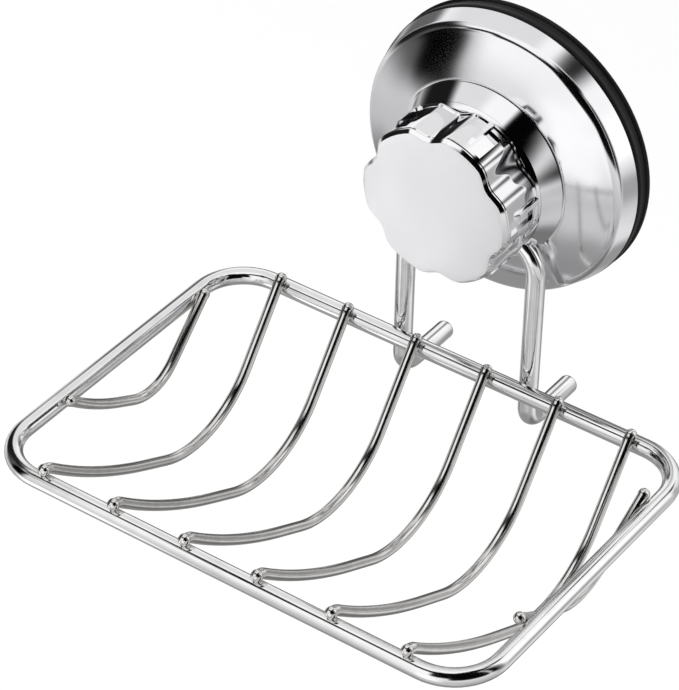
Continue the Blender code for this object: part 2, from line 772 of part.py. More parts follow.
def make_cross_wires(material):
    """Wires that carry the soap, spaced evenly along the rim."""
    unclosed = cross_route(0, 0)
    rear_tip = Vector((BASKET_DEPTH, 0)) + tip_distance * Vector((-math.sin(CROSS_REAR_TIP_ANGLE),
                                                                  math.cos(CROSS_REAR_TIP_ANGLE)))
    gap = rear_tip - unclosed.place
    middle_run, rear_run = closing_runs(gap, -CROSS_EASE_ANGLE, CROSS_REAR_ANGLE)
    route = cross_route(middle_run, rear_run)
    for index in range(CROSS_WIRES):
        across = (index - (CROSS_WIRES - 1) / 2) * cross_pitch
        points = [Vector((across, inward - rail_front_out, up - BASKET_DROP))
                  for inward, up in route.points]
        bent_wire(f"cross_wire_{index + 1}", points, BASKET_WIRE_RADIUS, TIP_RADIUS, material)


def side_route(middle_run, rear_run):
    """Centreline of a side wire in its own leaning plane, from its front tip."""
    route = Route(0, 0, -SIDE_FRONT_ANGLE).run(SIDE_FRONT_RUN)
    route.bend(SIDE_FRONT_ANGLE - SIDE_EASE_ANGLE, SIDE_EASE_RADIUS).run(middle_run)
    return route.bend(SIDE_EASE_ANGLE + SIDE_REAR_ANGLE, SIDE_FLOOR_RADIUS).run(rear_run)


def make_side_wires(material):
    """Wires that close the basket's ends, each held against the inside of the rim."""
    span = BASKET_DEPTH - SIDE_FRONT_TIP - SIDE_REAR_TIP
    gap = Vector((span, 0)) - side_route(0, 0).place
    middle_run, rear_run = closing_runs(gap, -SIDE_EASE_ANGLE, SIDE_REAR_ANGLE)
    route = side_route(middle_run, rear_run)
    tip_inset = math.sqrt(tip_distance ** 2 - SIDE_TIP_RISE ** 2) + FIT * math.sin(SIDE_LEAN)
    for side, name in ((-1, "side_wire_left"), (1, "side_wire_right")):
        points = []
        for along, up in route.points:
            across = BASKET_LENGTH / 2 - tip_inset + up * math.sin(SIDE_LEAN)
            height = SIDE_TIP_RISE - BASKET_DROP + up * math.cos(SIDE_LEAN)
            points.append(Vector((side * across, along + SIDE_FRONT_TIP - rail_front_out, height)))
        bent_wire(name, points, BASKET_WIRE_RADIUS, TIP_RADIUS, material)


def main():
    clear_scene()
    make_pad(black_rubber())
    make_stud(zinc_steel())
    make_frame(white_plastic())
    make_shell(chrome_sheet())
    make_collar(chrome_collar())
    make_washer(nylon())
    make_knob(chrome_knob())
    make_face(satin_cap())
    make_nut(brass())
    make_hanger(steel_rod())
    make_rail(steel_rail())
    wire_finish = steel_basket_wire()
    make_cross_wires(wire_finish)
    make_side_wires(wire_finish)


main()
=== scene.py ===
"""Looks of a suction soap dish: its fine meshes, its finishes, a plain studio and the camera.

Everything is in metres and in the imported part's own frame: +Y points into the wall, +X to the
right and +Z up. "Out" is the distance from the wall, so a place that is out by d has y = -d.
Round pieces turn about the hub axis, which is the line x = 0, z = 0.
"""

import logging
import math
from collections.abc import Callable, Sequence
from dataclasses import dataclass, field
from enum import Enum

import bmesh
import bpy
from mathutils import Matrix, Vector


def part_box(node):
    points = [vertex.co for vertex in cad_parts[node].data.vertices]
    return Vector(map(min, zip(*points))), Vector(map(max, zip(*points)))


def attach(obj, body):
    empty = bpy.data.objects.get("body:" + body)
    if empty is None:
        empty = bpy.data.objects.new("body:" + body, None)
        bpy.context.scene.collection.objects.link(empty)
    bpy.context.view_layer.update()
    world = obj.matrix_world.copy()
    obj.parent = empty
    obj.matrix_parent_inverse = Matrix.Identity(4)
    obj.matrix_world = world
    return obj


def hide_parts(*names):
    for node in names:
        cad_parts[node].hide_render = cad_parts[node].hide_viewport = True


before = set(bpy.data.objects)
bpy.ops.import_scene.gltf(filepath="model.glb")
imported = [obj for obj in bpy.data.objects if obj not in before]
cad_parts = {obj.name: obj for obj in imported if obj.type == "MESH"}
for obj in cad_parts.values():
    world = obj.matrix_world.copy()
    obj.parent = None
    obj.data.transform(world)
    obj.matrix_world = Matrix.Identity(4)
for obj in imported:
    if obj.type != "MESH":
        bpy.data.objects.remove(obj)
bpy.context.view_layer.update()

LOG = logging.getLogger("soap_dish")

Colour = tuple[float, float, float]
Material = bpy.types.Material
Outline = list[tuple[float, float]]
Piece = bpy.types.Object
Socket = bpy.types.NodeSocket

OUTWARD = Vector((0, -1, 0))
INWARD = Vector((0, 1, 0))
RIGHT = Vector((1, 0, 0))
UP = Vector((0, 0, 1))
HUB_AXIS = INWARD
QUARTER = math.pi / 2
TURN = 2 * math.pi
MERGE = 0.000001
SLIVER_SIDES = 4
POLE_SHARE = 0.1
ROUND_INSET_SHARE = 0.9
HALF_TURN_DEGREES = 180


class Body(Enum):
    """The moving bodies that new pieces ride on."""

    DISH = "dish"
    KNOB = "knob"


class Slot(Enum):
    """Names of the record's material slots; no new piece in this script takes its finish from them."""

    RUBBER = "rubber"
    SHELL_CHROME = "shell_chrome"
    COLLAR_CHROME = "collar_chrome"
    KNOB_CHROME = "knob_chrome"
    CAP_CHROME = "cap_chrome"
    HANGER_STEEL = "hanger_steel"
    RAIL_STEEL = "rail_steel"
    WIRE_STEEL = "wire_steel"


@dataclass(frozen=True)
class Span:
    """Where a CAD node lies round the hub axis and out from the wall."""

    low: Vector
    high: Vector

    @classmethod
    def of(cls, node: str) -> "Span":
        """Read a node's box from the frame."""
        return cls(*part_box(node))

    @property
    def rear(self) -> float:
        """How far out the node starts."""
        return -self.high.y

    @property
    def front(self) -> float:
        """How far out the node ends."""
        return -self.low.y

    @property
    def radius(self) -> float:
        """Half the node's width."""
        return (self.high.x - self.low.x) / 2

    @property
    def middle(self) -> Vector:
        """The centre of the node's box."""
        return (self.low + self.high) / 2


def span_of(node: str) -> Span:
    """A dataclass field that holds a node's span."""
    return field(default_factory=lambda: Span.of(node))


# Shaping by hand


def select_only(*objects: Piece) -> None:
    """Select some objects and nothing else, and make the first one active.

    Args:
        objects: The objects.
    """
    bpy.ops.object.select_all(action="DESELECT")
    bpy.context.view_layer.objects.active = objects[0]
    for obj in objects:
        obj.select_set(True)


def add_primitive(kind: Callable, name: str, **settings: object) -> Piece:
    """Add a primitive by itself, with its place in its mesh.

    Args:
        kind: The operator that adds it.
        name: The new object's name.
        settings: The operator's settings.

    Returns:
        The new object.
    """
    bpy.ops.object.select_all(action="DESELECT")
    kind(**settings)
    bpy.ops.object.transform_apply(location=True, rotation=True, scale=True)
    obj = bpy.context.object
    obj.name = obj.data.name = name
    return obj


def modify(obj: Piece, kind: str, **settings: object) -> None:
    """Give an object a modifier and apply it.

    Args:
        obj: The object.
        kind: The modifier's type.
        settings: The modifier's properties.
    """
    modifier = obj.modifiers.new(kind.lower(), kind)
    for key, value in settings.items():
        setattr(modifier, key, value)
    select_only(obj)
    bpy.ops.object.modifier_apply(modifier=modifier.name)


def combine(obj: Piece, tool: Piece, operation: str) -> None:
    """Cut an object with a tool, or join the two, and delete the tool.

    Args:
        obj: The object that stays.
        tool: The object that is used up.
        operation: DIFFERENCE cuts and UNION joins.
    """
    modify(obj, "BOOLEAN", operation=operation, solver="EXACT", object=tool)
    bpy.data.objects.remove(tool)


def mend(obj: Piece) -> None:
    """Merge doubled corners and close the slivers that cutting can leave open.

    Args:
        obj: The object.
    """
    select_only(obj)
    bpy.ops.object.mode_set(mode="EDIT")
    bpy.ops.mesh.select_all(action="SELECT")
    bpy.ops.mesh.remove_doubles(threshold=MERGE)
    bpy.ops.mesh.fill_holes(sides=SLIVER_SIDES)
    bpy.ops.mesh.select_all(action="SELECT")
    bpy.ops.mesh.normals_make_consistent(inside=False)
    bpy.ops.object.mode_set(mode="OBJECT")


def soften(obj: Piece, width: float, angle: float, segments: int = 2) -> None:
    """Round every edge that bends by more than an angle."""
    modify(obj, "BEVEL", width=width, segments=segments, limit_method="ANGLE", angle_limit=angle)


def shade(obj: Piece, angle: float) -> None:
    """Shade an object smooth, but for edges that bend by more than an angle."""
    select_only(obj)
    bpy.ops.object.shade_smooth_by_angle(angle=angle)


def copy_moved(obj: Piece, name: str, move: Matrix) -> Piece:
    """Copy an object with its own mesh, and move the copy in its mesh.

    Args:
        obj: The object.
        name: The copy's name.
        move: How the copy moves.

    Returns:
        The copy.
    """
    copy = obj.copy()
    copy.data = obj.data.copy()
    copy.data.transform(move)
    copy.name = copy.data.name = name
    bpy.context.scene.collection.objects.link(copy)
    return copy


def turned_copies(obj: Piece, count: int) -> None:
    """Join a shape with copies of it, spaced evenly round the hub axis.

    Args:
        obj: The shape, which takes its copies in.
        count: How many shapes there are in the end.
    """
    turns = [Matrix.Rotation(TURN * index / count, 4, HUB_AXIS) for index in range(1, count)]
    select_only(obj, *[copy_moved(obj, obj.name, turn) for turn in turns])
    bpy.ops.object.join()


def pick_corners(obj: Piece, test: Callable[[Vector], bool]) -> None:
    """Pick the corners of an object in edit mode whose place passes a test.

    Args:
        obj: The object.
        test: Takes a corner's place and says whether to pick it.
    """
    bpy.ops.mesh.select_mode(type="VERT")
    bpy.ops.mesh.select_all(action="DESELECT")
    mesh = bmesh.from_edit_mesh(obj.data)
    for vert in mesh.verts:
        if test(vert.co):
            vert.select = True
    mesh.select_flush(True)
    bmesh.update_edit_mesh(obj.data)


def arc(centre: tuple[float, float], radius: float, start: float, end: float, steps: int) -> Outline:
    """Points of a round stretch of an outline, from one angle to another."""
    angles = [start + (end - start) * step / steps for step in range(steps + 1)]
    return [(centre[0] + radius * math.cos(a), centre[1] + radius * math.sin(a)) for a in angles]


class Workpiece:
    """A mesh that is begun as a circle and shaped in edit mode."""

    def __init__(self, name: str, centre: Vector, facing: Vector, radius: float, corners: int) -> None:
        """Add the first circle and pick it.

        Args:
            name: The finished piece's name.
            centre: The circle's centre.
            facing: The direction that the circle looks in.
            radius: The circle's radius.
            corners: How many corners it has.
        """
        turn = facing.to_track_quat("Z", "Y").to_euler()
        self.obj = add_primitive(bpy.ops.mesh.primitive_circle_add, name, vertices=corners, radius=radius,
                                 location=centre, rotation=turn)
        bpy.ops.object.mode_set(mode="EDIT")
        bpy.ops.mesh.select_all(action="SELECT")

    def extrude(self, move: Vector) -> None:
        """Extrude what is picked by a vector."""
        bpy.ops.mesh.extrude_region_move(TRANSFORM_OT_translate={"value": move})

    def scale(self, factors: Vector, centre: Vector) -> None:
        """Scale what is picked about a centre."""
        bpy.ops.transform.resize(value=factors, center_override=centre)

    def spin(self, angle: float, centre: Vector, axis: Vector, steps: int) -> None:
        """Spin what is picked about an axis, by the right-hand rule."""
        bpy.ops.mesh.spin(steps=steps, angle=-angle, center=centre, axis=axis)

    def close_end(self) -> None:
        """Close the picked ring with a face."""
        bpy.ops.mesh.edge_face_add()

    def close_start(self) -> None:
        """Close the first ring with a face, and pick it again."""
        self.close_end()
        self.pick(lambda place: True)

    def pick(self, test: Callable[[Vector], bool]) -> None:
        """Pick the corners whose place passes a test."""
        pick_corners(self.obj, test)

    def done(self, smooth_angle: float) -> Piece:
        """Close the mesh's seams, face it outwards and shade it smooth.

        Args:
            smooth_angle: Edges that bend by more than this stay sharp.

        Returns:
            The finished object.
        """
        bpy.ops.mesh.select_all(action="SELECT")
        bpy.ops.mesh.remove_doubles(threshold=MERGE)
        bpy.ops.mesh.normals_make_consistent(inside=False)
        bpy.ops.object.mode_set(mode="OBJECT")
        bpy.ops.object.shade_smooth_by_angle(angle=smooth_angle)
        return self.obj


class Turned(Workpiece):
    """A round piece about the hub axis, drawn out ring by ring from its first circle."""

    def __init__(self, name: str, radius: float, out: float, corners: int = 192) -> None:
        """Add the first ring.

        Args:
            name: The finished piece's name.
            radius: The ring's radius.
            out: How far from the wall it is.
            corners: How many corners each ring has.
        """
        super().__init__(name, OUTWARD * out, OUTWARD, radius, corners)
        self.radius = radius
        self.out = out

    def rings(self, outline: Outline) -> None:
        """Extrude the last ring through an outline.

        Args:
            outline: The radius of each new ring, and how far out it is.
        """
        for radius, out in outline:
            self.extrude(OUTWARD * (out - self.out))
            share = radius / self.radius
            self.scale(Vector((share, 1, share)), OUTWARD * out)
            self.radius = radius
            self.out = out


@dataclass(frozen=True)
class Straight:
    """A straight run of a wire."""

    length: float


@dataclass(frozen=True)
class Bend:
    """A bend of a wire by the right-hand rule: a negative angle bends the other way."""

    angle: float
    radius: float


Moves = Sequence[Straight | Bend]


class Wire(Workpiece):
    """A round wire, drawn from its start by straight runs and bends."""

    bend_step: float = math.radians(7)
    longest_step: float = 0.002

    def __init__(self, name: str, start: Vector, heading: Vector, radius: float, corners: int) -> None:
        """Add the wire's first section.

        Args:
            name: The finished piece's name.
            start: The centre of the first section.
            heading: The direction that the wire starts in.
            radius: The section's radius.
            corners: How many corners the section has.
        """
        super().__init__(name, start, heading, radius, corners)
        self.place = start.copy()
        self.heading = heading.normalized()
        self.radius = radius

    def run(self, length: float, radius: float | None = None) -> None:
        """Go straight on.

        Args:
            length: How far to go.
            radius: The wire's radius at the end, if it changes on the way.
        """
        move = self.heading * length
        self.extrude(move)
        self.place += move
        if radius is not None and radius != self.radius:
            share = radius / self.radius
            self.scale(Vector((share, share, share)), self.place)
            self.radius = radius

    def bend(self, angle: float, bend_radius: float, axis: Vector) -> None:
        """Bend round an axis, by the right-hand rule.

        Args:
            angle: How far to bend, in radians. A negative angle bends the other way.
            bend_radius: The radius of the wire's centreline in the bend.
            axis: The direction that the bend turns about.
        """
        centre = self.place + axis.cross(self.heading) * math.copysign(bend_radius, angle)
        arc_length = abs(angle) * bend_radius
        steps = max(2, math.ceil(abs(angle) / self.bend_step), math.ceil(arc_length / self.longest_step))
        self.spin(angle, centre, axis, steps)
        turn = Matrix.Rotation(angle, 3, axis)
        self.place = centre + turn @ (self.place - centre)
        self.heading = turn @ self.heading

    def follow(self, moves: Moves, axis: Vector) -> None:
        """Draw a row of runs and bends.

        Args:
            moves: The runs and bends.
            axis: The direction that every bend turns about.
        """
        for move in moves:
            if isinstance(move, Straight):
                self.run(move.length)
            else:
                self.bend(move.angle, move.radius, axis)


def route_end(up: float, heading: float, moves: Moves) -> Vector:
    """Work out where a wire's centreline ends.

    Args:
        up: How far above the front rail's axis it starts.
        heading: Its heading there, as an angle upwards from inward.
        moves: Its runs and bends.

    Returns:
        Where it ends, inward and up.
    """
    place = Vector((0, up))
    for move in moves:
        if isinstance(move, Straight):
            place += move.length * Vector((math.cos(heading), math.sin(heading)))
        else:
            before = Vector((-math.sin(heading), math.cos(heading)))
            heading += move.angle
            after = Vector((-math.sin(heading), math.cos(heading)))
            place += math.copysign(move.radius, move.angle) * (before - after)
    return place


def closing_runs(gap: Vector, first: float, second: float) -> tuple[float, float]:
    """Lengths of two straight runs, with known headings, that together span a gap.

    Args:
        gap: What is left to span, inward and up.
        first: The first run's heading.
        second: The second run's heading.

    Returns:
        The two lengths.
    """
    one = Vector((math.cos(first), math.sin(first)))
    two = Vector((math.cos(second), math.sin(second)))
    area = one.x * two.y - one.y * two.x
    return (gap.x * two.y - gap.y * two.x) / area, (one.x * gap.y - one.y * gap.x) / area


# Finishes


class Graph:
    """A small helper that lays out the nodes of a tree."""

    def __init__(self, tree: bpy.types.NodeTree) -> None:
        """Work on a node tree."""
        self.tree = tree

    def add(self, kind: str, **settings: object) -> bpy.types.Node:
        """Add a node.

        Args:
            kind: The node's type.
            settings: The node's properties.

        Returns:
            The node.
        """
        node = self.tree.nodes.new(kind)
        for key, value in settings.items():
            setattr(node, key, value)
        return node

    def feed(self, node: bpy.types.Node, values: dict[str | int, object]) -> None:
        """Fill a node's sockets.

        Args:
            node: The node.
            values: For each socket's name or number, its value or the output that it is linked to.
        """
        for key, value in values.items():
            if isinstance(value, Socket):
                self.tree.links.new(value, node.inputs[key])
            else:
                node.inputs[key].default_value = value

    def maths(self, operation: str, *values: object) -> Socket:
        """Work something out.

        Args:
            operation: The maths node's operation.
            values: The outputs or numbers that it works on.

        Returns:
            The result.
        """
        node = self.add("ShaderNodeMath", operation=operation)
        self.feed(node, dict(enumerate(values)))
        return node.outputs["Value"]

    def ramp(self, value: Socket, low: float, high: float, start: float = 0.3, end: float = 0.7,
             curve: str = "SMOOTHSTEP") -> Socket:
        """Map a value onto a range.

        Args:
            value: The value.
            low: What start becomes.
            high: What end becomes.
            start: The value that low stands for.
            end: The value that high stands for.
            curve: The mapping's interpolation.

        Returns:
            The mapped value.
        """
        node = self.add("ShaderNodeMapRange", interpolation_type=curve)
        self.feed(node, {"Value": value, "From Min": start, "From Max": end, "To Min": low, "To Max": high})
        return node.outputs["Result"]

    def mix(self, share: Socket, first: object, second: object, **settings: object) -> Socket:
        """Mix two values by a share.

        Args:
            share: The second value's share.
            first: The first value or output.
            second: The second value or output.
            settings: The node's properties, such as its data type.

        Returns:
            The mixture.
        """
        node = self.add("ShaderNodeMix", **settings)
        self.feed(node, {"Factor": share, "A": first, "B": second})
        return node.outputs["Result"]


class FinishGraph(Graph):
    """The nodes of a new material."""

    def __init__(self, name: str) -> None:
        """Make the material with its shader.

        Args:
            name: The material's name.
        """
        self.material = bpy.data.materials.new(name)
        self.material.use_nodes = True
        super().__init__(self.material.node_tree)
        self.shader = self.tree.nodes["Principled BSDF"]
        self.place = self.add("ShaderNodeTexCoord").outputs["Object"]

    def noise(self, scale: float, detail: float = 3, stretch: Colour = (1, 1, 1)) -> Socket:
        """Noise from 0 to 1 that goes with the piece.

        Args:
            scale: Spots per metre.
            detail: How much finer detail it has.
            stretch: How much the coordinates are stretched along X, Y and Z.

        Returns:
            The noise's factor.
        """
        mapping = self.add("ShaderNodeMapping")
        self.feed(mapping, {"Vector": self.place, "Scale": stretch})
        node = self.add("ShaderNodeTexNoise")
        self.feed(node, {"Vector": mapping.outputs["Vector"], "Scale": scale, "Detail": detail})
        return node.outputs["Fac"]

    def bump(self, height: Socket, depth: float, **below: Socket) -> Socket:
        """Raise the surface by a height.

        Args:
            height: The height from 0 to 1.
            depth: What a height of 1 stands for, in metres.
            below: As Normal, another bump that this one goes on.

        Returns:
            The bumped normal.
        """
        node = self.add("ShaderNodeBump")
        self.feed(node, {"Height": height, "Distance": depth, **below})
        return node.outputs["Normal"]

    def paint(self, share: Socket, first: Colour, second: Colour) -> None:
        """Give the shader two colours, mixed by a share."""
        colour = self.mix(share, (*first, 1), (*second, 1), data_type="RGBA")
        self.feed(self.shader, {"Base Color": colour})

    def show(self, surface: Socket) -> None:
        """Show a surface in place of the shader's own."""
        output = next(node for node in self.tree.nodes if node.type == "OUTPUT_MATERIAL")
        self.feed(output, {"Surface": surface})


@dataclass(frozen=True)
class Finish:
    """What every finish has: a colour and a roughness, and what both become in patches."""

    name: str
    colour: Colour
    patch_colour: Colour
    roughness: float
    patch_roughness: float

    def lay(self, graph: FinishGraph) -> None:
        """Lay out the nodes that are the finish's own."""
        raise NotImplementedError

    def patchy(self, graph: FinishGraph, patches: Socket) -> None:
        """Let patches change the colour and the roughness.

        Args:
            graph: The material's nodes.
            patches: The noise that makes the patches.
        """
        graph.paint(graph.ramp(patches, 0, 1), self.colour, self.patch_colour)
        graph.feed(graph.shader, {"Roughness": graph.ramp(patches, self.roughness, self.patch_roughness)})

    def material(self) -> Material:
        """Build the material.

        Returns:
            The material.
        """
        graph = FinishGraph(self.name)
        self.lay(graph)
        return graph.material


@dataclass(frozen=True)
class Plating(Finish):
    """Bright chrome over metal or plastic: a mirror with a slight swell, faint smears and specks."""

    smear_scale: float = 90
    smear_detail: float = 5
    smear_stretch: Colour = (1, 0.6, 1.4)
    smear_limits: tuple[float, float] = (0.35, 0.75)
    speck_ratio: float = 22
    speck_detail: float = 2
    speck_limits: tuple[float, float] = (0.62, 0.8)
    swell_scale: float = 60
    swell_detail: float = 1
    swell_depth: float = 0.00003
    grain_ratio: float = 40
    grain_depth: float = 0.0000004
    chrome_ior: float = 2.5

    def lay(self, graph: FinishGraph) -> None:
        """Lay out the smears, the specks, the swell and the grain.

        Args:
            graph: The material's nodes.
        """
        smear = graph.noise(self.smear_scale, self.smear_detail, self.smear_stretch)
        speck = graph.noise(self.smear_scale * self.speck_ratio, self.speck_detail)
        graph.paint(graph.ramp(smear, 0, 1), self.colour, self.patch_colour)
        smeared = graph.ramp(smear, self.roughness, self.patch_roughness, *self.smear_limits)
        specked = graph.ramp(speck, self.roughness, self.patch_roughness, *self.speck_limits)
        swell = graph.bump(graph.noise(self.swell_scale, self.swell_detail), self.swell_depth)
        grain = graph.bump(graph.noise(self.swell_scale * self.grain_ratio), self.grain_depth, Normal=swell)
        graph.feed(graph.shader, {"Roughness": graph.maths("MAXIMUM", smeared, specked), "Normal": grain,
                                  "Metallic": 1, "IOR": self.chrome_ior})


@dataclass(frozen=True)
class DrawnSteel(Finish):
    """Polished steel wire: bright, with faint draw lines along one axis and a few dull spots."""

    line_stretch: Colour
    line_scale: float = 2400
    line_limits: tuple[float, float] = (0.4, 0.9)
    line_depth: float = 0.0000015
    spot_ratio: float = 12
    spot_limits: tuple[float, float] = (0.3, 0.8)
    tint_limits: tuple[float, float] = (0.35, 0.8)
    detail: float = 4

    def lay(self, graph: FinishGraph) -> None:
        """Lay out the draw lines and the spots.

        Args:
            graph: The material's nodes.
        """
        lines = graph.noise(self.line_scale, self.detail, self.line_stretch)
        spots = graph.noise(self.line_scale / self.spot_ratio, self.detail)
        graph.paint(graph.ramp(spots, 0, 1, *self.tint_limits), self.colour, self.patch_colour)
        spotted = graph.ramp(spots, self.roughness, self.patch_roughness, *self.spot_limits)
        lined = graph.ramp(lines, 0, self.patch_roughness - self.roughness, *self.line_limits)
        graph.feed(graph.shader, {"Roughness": graph.maths("ADD", spotted, lined),
                                  "Normal": graph.bump(lines, self.line_depth), "Metallic": 1})


@dataclass(frozen=True)
class EvenFinish(Finish):
    """Satin, rubber or moulded plastic: even, with faint patches and a fine grain."""

    patch_scale: float
    patch_detail: float
    grain_scale: float
    grain_depth: float
    grain_detail: float = 2
    stretch: Colour = (1, 1, 1)
    metal: float = 0
    specular: float = 0.5

    def lay(self, graph: FinishGraph) -> None:
        """Lay out the patches and the grain.

        Args:
            graph: The material's nodes.
        """
        self.patchy(graph, graph.noise(self.patch_scale, self.patch_detail, self.stretch))
        grain = graph.bump(graph.noise(self.grain_scale, self.grain_detail), self.grain_depth)
        graph.feed(graph.shader, {"Normal": grain, "Metallic": self.metal,
                                  "Specular IOR Level": self.specular})


@dataclass(frozen=True)
class MachinedMetal(Finish):
    """Turned or plated fastener metal: tool marks in rings and a patchy dullness."""

    ring_scale: float = 1500
    ring_wobble: float = 1.5
    ring_depth: float = 0.00002
    patch_scale: float = 260
    patch_detail: float = 4

    def lay(self, graph: FinishGraph) -> None:
        """Lay out the rings and the patches.

        Args:
            graph: The material's nodes.
        """
        rings = graph.add("ShaderNodeTexWave", wave_type="BANDS", bands_direction="Y")
        graph.feed(rings, {"Vector": graph.place, "Scale": self.ring_scale, "Distortion": self.ring_wobble})
        self.patchy(graph, graph.noise(self.patch_scale, self.patch_detail))
        marks = graph.bump(rings.outputs["Fac"], self.ring_depth)
        graph.feed(graph.shader, {"Normal": marks, "Metallic": 1})


PAD_RUBBER = EvenFinish("moulded_black_rubber", (0.004, 0.004, 0.0045), (0.008, 0.008, 0.009), 0.38, 0.52,
                        patch_scale=160, patch_detail=5, grain_scale=2600, grain_depth=0.00003,
                        grain_detail=3, specular=0.22)
SHELL_PLATING = Plating("shell_chrome_plating", (0.88, 0.88, 0.90), (0.84, 0.84, 0.86), 0.10, 0.125,
                        smear_scale=60, swell_scale=30, swell_depth=0.00002)
COLLAR_PLATING = Plating("collar_chrome_plating", (0.88, 0.88, 0.90), (0.84, 0.84, 0.86), 0.03, 0.06)
KNOB_PLATING = Plating("knob_chrome_plating", (0.90, 0.90, 0.91), (0.86, 0.86, 0.88), 0.03, 0.06)
CAP_PLATING = Plating("cap_chrome_plating", (0.91, 0.91, 0.92), (0.88, 0.88, 0.89), 0.03, 0.06,
                      smear_scale=70, swell_scale=30, swell_depth=0.00001)
CAP_SATIN = EvenFinish("cap_satin_face", (0.95, 0.95, 0.97), (0.94, 0.94, 0.96), 0.29, 0.31,
                       patch_scale=110, patch_detail=4, grain_scale=5200, grain_depth=0.000008, metal=1)
HANGER_STEEL = DrawnSteel("hanger_drawn_steel", (0.90, 0.90, 0.90), (0.84, 0.84, 0.84), 0.10, 0.15,
                          line_stretch=(1, 1, 0.05))
RAIL_STEEL = DrawnSteel("rail_drawn_steel", (0.88, 0.88, 0.88), (0.81, 0.81, 0.81), 0.08, 0.13,
                        line_stretch=(0.05, 1, 1))
# Painted shade: this steel is coloured darker and warmer than the rail's same steel, standing in for dimmer
# reflections on the cross and side wires.
WIRE_STEEL = DrawnSteel("wire_steel_painted_shade", (0.77, 0.76, 0.745), (0.68, 0.67, 0.65), 0.11, 0.17,
                        line_stretch=(1, 0.05, 0.3), line_scale=2800)
FRAME_PLASTIC = EvenFinish("frame_moulding", (0.78, 0.78, 0.76), (0.74, 0.74, 0.71), 0.40, 0.52,
                           patch_scale=90, patch_detail=4, grain_scale=3200, grain_depth=0.00002,
                           stretch=(1, 3, 1))
WASHER_NYLON = EvenFinish("washer_moulding", (0.70, 0.69, 0.63), (0.64, 0.63, 0.57), 0.44, 0.58,
                          patch_scale=90, patch_detail=4, grain_scale=3200, grain_depth=0.00002,
                          stretch=(1, 3, 1))
STUD_ZINC = MachinedMetal("stud_zinc_plating", (0.60, 0.61, 0.62), (0.50, 0.51, 0.52), 0.26, 0.40)
NUT_BRASS = MachinedMetal("nut_brass_metal", (0.74, 0.55, 0.26), (0.62, 0.45, 0.20), 0.24, 0.38)


def dress(obj: Piece, material: Material) -> None:
    """Give an object one material all over."""
    obj.data.materials.clear()
    obj.data.materials.append(material)


def hand_over(obj: Piece, material: Material, body: Body, node: str) -> None:
    """Dress a new piece, and tie it to its body and its CAD node.

    Args:
        obj: The piece.
        material: Its material.
        body: The body that it rides on.
        node: The CAD node that it replaces.
    """
    dress(obj, material)
    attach(obj, body.value)
    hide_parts(node)
    LOG.info("%s: %d faces, rides on %s", obj.name, len(obj.data.polygons), body.value)


# Suction cup


@dataclass
class SuctionPad:
    """The rubber pad: lip, rim groove, seat, skin and the pocket for the stud's foot."""

    span: Span = span_of("suction_pad")
    bevel_width: float = 0.0038
    bevel_depth: float = 0.0030
    edge: float = 0.0006
    edge_steps: int = 5
    foot_rise_share: float = 0.5
    bevel_stop_share: float = 0.8
    bevel_end_angle: float = -0.6
    groove_start_share: float = 1.6
    rim_inset_share: float = 0.3
    rim_start_angle: float = 0.2
    rim_steps: int = 3
    groove_depth: float = 0.0005
    groove_out: float = 0.0046
    lip_width: float = 0.0019
    seat_width: float = 0.0050
    seat_depth: float = 0.0040
    seat_slope: float = 0.0030
    skin: float = 0.0023
    pocket_radius: float = 0.0083
    pocket_wall: float = 0.0022
    pocket_floor: float = 0.0010
    hollow_depth: float = 0.0003
    hollow_share: float = 0.72
    hollow_steps: int = 12
    rib_count: int = 4
    rib_height: float = 0.00025
    ribs_start_share: float = 0.74
    ribs_width_share: float = 0.26
    rib_top_share: float = 0.35
    valley_start_share: float = 0.5
    valley_end_share: float = 0.8
    smooth_angle: float = math.radians(50)

    def face_outline(self) -> Outline:
        """The sealing face's outline from its centre outwards, with its fine ring ribs.

        Returns:
            The radius of each ring, and how far out it is.
        """
        seal = self.span.radius - self.bevel_width
        shares = [step / self.hollow_steps for step in range(1, self.hollow_steps + 1)]
        outline = [(share * seal * self.hollow_share, self.hollow_depth * math.cos(share * QUARTER))
                   for share in shares]
        pitch = seal * self.ribs_width_share / self.rib_count
        for rib in range(self.rib_count):
            start = seal * self.ribs_start_share + rib * pitch
            outline += [(start, self.rib_height),
                        (start + pitch * self.rib_top_share, self.rib_height),
                        (start + pitch * self.valley_start_share, 0),
                        (start + pitch * self.valley_end_share, 0)]
        return [*outline, (seal, 0)]

    def build(self) -> Piece:
        """Model the pad.

        Returns:
            The pad.
        """
        edge, front, radius = self.edge, self.span.front, self.span.radius
        seal = radius - self.bevel_width
        lip = radius - self.lip_width
        seat = lip - self.seat_width
        groove = radius - self.groove_depth
        boss = self.pocket_radius + self.pocket_wall
        boss_front = 2 * self.skin
        rim = radius - edge * self.rim_inset_share
        face = self.face_outline()
        pad = Turned("rubber_pad", *face[0])
        pad.close_start()
        pad.rings(face[1:])
        pad.rings([(seal + edge, edge * self.foot_rise_share),
                   (radius - edge, self.bevel_depth - edge * self.bevel_stop_share)])
        pad.rings(arc((radius - edge, self.bevel_depth), edge, self.bevel_end_angle, QUARTER,
                      self.edge_steps))
        pad.rings([(groove, self.bevel_depth + edge * self.groove_start_share),
                   (groove, self.groove_out + edge), (rim, self.groove_out + 2 * edge),
                   (rim, front - edge)])
        pad.rings(arc((rim - edge, front - edge), edge, self.rim_start_angle, QUARTER, self.rim_steps))
        pad.rings([(lip, front), (lip, self.seat_depth), (seat, self.seat_depth)])
        pad.rings([(seat - self.seat_slope, self.skin), (boss, self.skin), (boss, boss_front)])
        pad.rings([(self.pocket_radius, boss_front), (self.pocket_radius, self.pocket_floor),
                   (self.pocket_radius * POLE_SHARE, self.pocket_floor)])
        pad.close_end()
        return pad.done(self.smooth_angle)

    def make(self) -> None:
        """Build and dress the pad."""
        hand_over(self.build(), PAD_RUBBER.material(), Body.DISH, "suction_pad")


